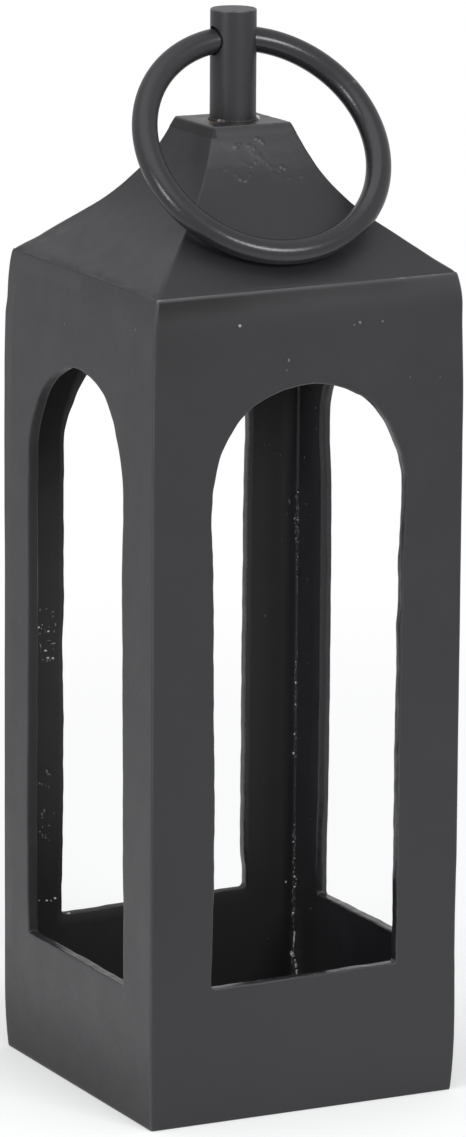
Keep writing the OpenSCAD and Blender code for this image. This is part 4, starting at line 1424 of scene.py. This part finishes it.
def direction(azimuth, elevation):
    """The way from the lantern to what stands at an azimuth from the front and at an elevation."""
    flat = math.cos(elevation)
    return Vector((math.sin(azimuth) * flat, -math.cos(azimuth) * flat, math.sin(elevation)))


def surroundings(tree, stage):
    """Colour and strength of all that lies round the lantern: plain white for the camera, and a little
    dimmer and tinted for the rest."""
    camera = tree.ray("Camera")
    shade = tree.mix(camera, opaque(stage.tint), opaque(stage.ground))
    return {"Color": shade, "Strength": stage.surround + (1 - stage.surround) * camera}


def stage_floor(stage):
    """A wide disc whose colour goes over into the surroundings away from the lantern."""
    material = bpy.data.materials.new("stage_floor")
    tree = Tree(material)
    seen = tree.seen()
    place = tree.add("ShaderNodeTexCoord", out="Object")
    away = tree.add("ShaderNodeVectorMath", {"operation": "LENGTH"}, {0: place}, out="Value")
    away = away.between(0.25, 0.9)
    plain = tree.add("ShaderNodeBsdfDiffuse", None, {"Color": opaque([0.8 * c for c in stage.ground])})
    lift = tree.add("ShaderNodeEmission", None, {"Color": opaque(stage.ground), "Strength": stage.lift})
    white = tree.add("ShaderNodeEmission", None, surroundings(tree, stage))
    lifted = tree.add("ShaderNodeAddShader", None, {0: plain, 1: lift})
    faded = tree.add("ShaderNodeMixShader", None, {0: away, 1: lifted, 2: white})
    surface = tree.add("ShaderNodeMixShader", None, {0: seen, 1: plain, 2: faded})
    tree.add("ShaderNodeOutputMaterial", None, {"Surface": surface})
    turn, far = np.meshgrid(circle(96), np.array([0.0, 0.3, 1, 3, 9, 30]), indexing="ij")
    skin = Skin().grid(np.stack([far * np.cos(turn), far * np.sin(turn), 0 * far], -1), up=True)
    floor = joined("stage_floor", skin.points[0], skin, material)
    if floor.data.polygons[0].normal.z < 0:
        floor.data.flip_normals()


def studio(scene, stage):
    """The world: an even light, with the surroundings to be seen in it."""
    scene.world = bpy.data.worlds.new("studio")
    tree = Tree(scene.world)
    even = tree.add("ShaderNodeBackground", None, {"Color": opaque(stage.tint), "Strength": stage.sky})
    white = tree.add("ShaderNodeBackground", None, surroundings(tree, stage))
    surface = tree.add("ShaderNodeMixShader", None, {0: tree.seen(), 1: even, 2: white})
    tree.add("ShaderNodeOutputWorld", None, {"Surface": surface})


# Soft lights, all aimed at one point: azimuth, elevation, distance, width and height
AIM = (0, 0, 0.24)
LAMPS = {
    "key": (10.0, 26.0, 1.5, 0.60, 0.40),
    "side": (-69.0, 12.5, 1.5, 0.36, 0.36),
    "top": (-58.0, 66.0, 2.2, 2.4, 2.4),
}


def lamp(name, scene, stage):
    """A soft rectangular light that the camera doesn't see."""
    azimuth, elevation, far, wide, high = LAMPS[name]
    light = bpy.data.lights.new(name, "AREA")
    light.shape, light.size, light.size_y = "RECTANGLE", wide, high
    light.energy, light.color = getattr(stage, name), stage.tint
    made = bpy.data.objects.new(name, light)
    made.visible_camera = False
    way = direction(math.radians(azimuth), math.radians(elevation))
    made.location = Vector(AIM) + way * far
    made.rotation_mode = "QUATERNION"
    made.rotation_quaternion = way.to_track_quat("Z", "Y")
    scene.collection.objects.link(made)


def camera(scene, stage):
    """The scene's camera."""
    back = direction(stage.azimuth, stage.elevation)
    right = Vector((math.cos(stage.azimuth), math.sin(stage.azimuth), 0.0))
    up = back.cross(right)
    side = math.cos(stage.roll) * right + math.sin(stage.roll) * up
    rise = -math.sin(stage.roll) * right + math.cos(stage.roll) * up
    made = bpy.data.objects.new("camera", bpy.data.cameras.new("camera"))
    made.data.lens, made.data.sensor_width = stage.lens, 36.0
    made.data.clip_start, made.data.clip_end = 0.05, 60.0
    spot = Vector((0, 0, stage.aim_height)) + right * stage.aim_across + back * stage.distance
    made.matrix_world = Matrix.Translation(spot) @ Matrix((side, rise, back)).transposed().to_4x4()
    scene.collection.objects.link(made)
    scene.camera = made


class LANTERN_OT_stage(bpy.types.Operator):
    """Makes the floor, the lights and the camera"""

    bl_idname = "lantern.stage"
    bl_label = "Stage"

    def execute(self, context):
        scene, stage = context.scene, context.scene.lantern_stage
        scene.view_settings.view_transform = "Standard"
        stage_floor(stage)
        studio(scene, stage)
        for name in LAMPS:
            lamp(name, scene, stage)
        camera(scene, stage)
        return {"FINISHED"}


class LANTERN_PT_panel(bpy.types.Panel):
    """The lantern's pieces, sizes and colours"""

    bl_idname = "LANTERN_PT_panel"
    bl_label = "Candle Lantern"
    bl_space_type = "VIEW_3D"
    bl_region_type = "UI"
    bl_category = "Lantern"

    def draw(self, context):
        for operator in OPERATORS:
            self.layout.operator(operator.bl_idname)
        for group in HELD:
            values = getattr(context.scene, group)
            for name in values.bl_rna.properties.keys():
                if name not in ("rna_type", "name"):
                    self.layout.prop(values, name)


OPERATORS = (
    LANTERN_OT_walls,
    LANTERN_OT_roof,
    LANTERN_OT_cap_and_post,
    LANTERN_OT_ring,
    LANTERN_OT_seams,
    LANTERN_OT_floor_plate,
    LANTERN_OT_stage,
)
HELD = {"lantern_sizes": LanternSizes, "lantern_finish": LanternFinish, "lantern_stage": LanternStage}
KINDS = (*HELD.values(), *OPERATORS, LANTERN_PT_panel)


def register():
    for kind in KINDS:
        bpy.utils.register_class(kind)
    for name, kind in HELD.items():
        setattr(bpy.types.Scene, name, PointerProperty(type=kind))


def unregister():
    for name in HELD:
        delattr(bpy.types.Scene, name)
    for kind in reversed(KINDS):
        bpy.utils.unregister_class(kind)


def main():
    register()
    bpy.ops.lantern.walls()
    bpy.ops.lantern.roof()
    bpy.ops.lantern.cap_and_post()
    bpy.ops.lantern.ring()
    bpy.ops.lantern.seams()
    bpy.ops.lantern.floor_plate()
    bpy.ops.lantern.stage()


if __name__ == "__main__":
    main()
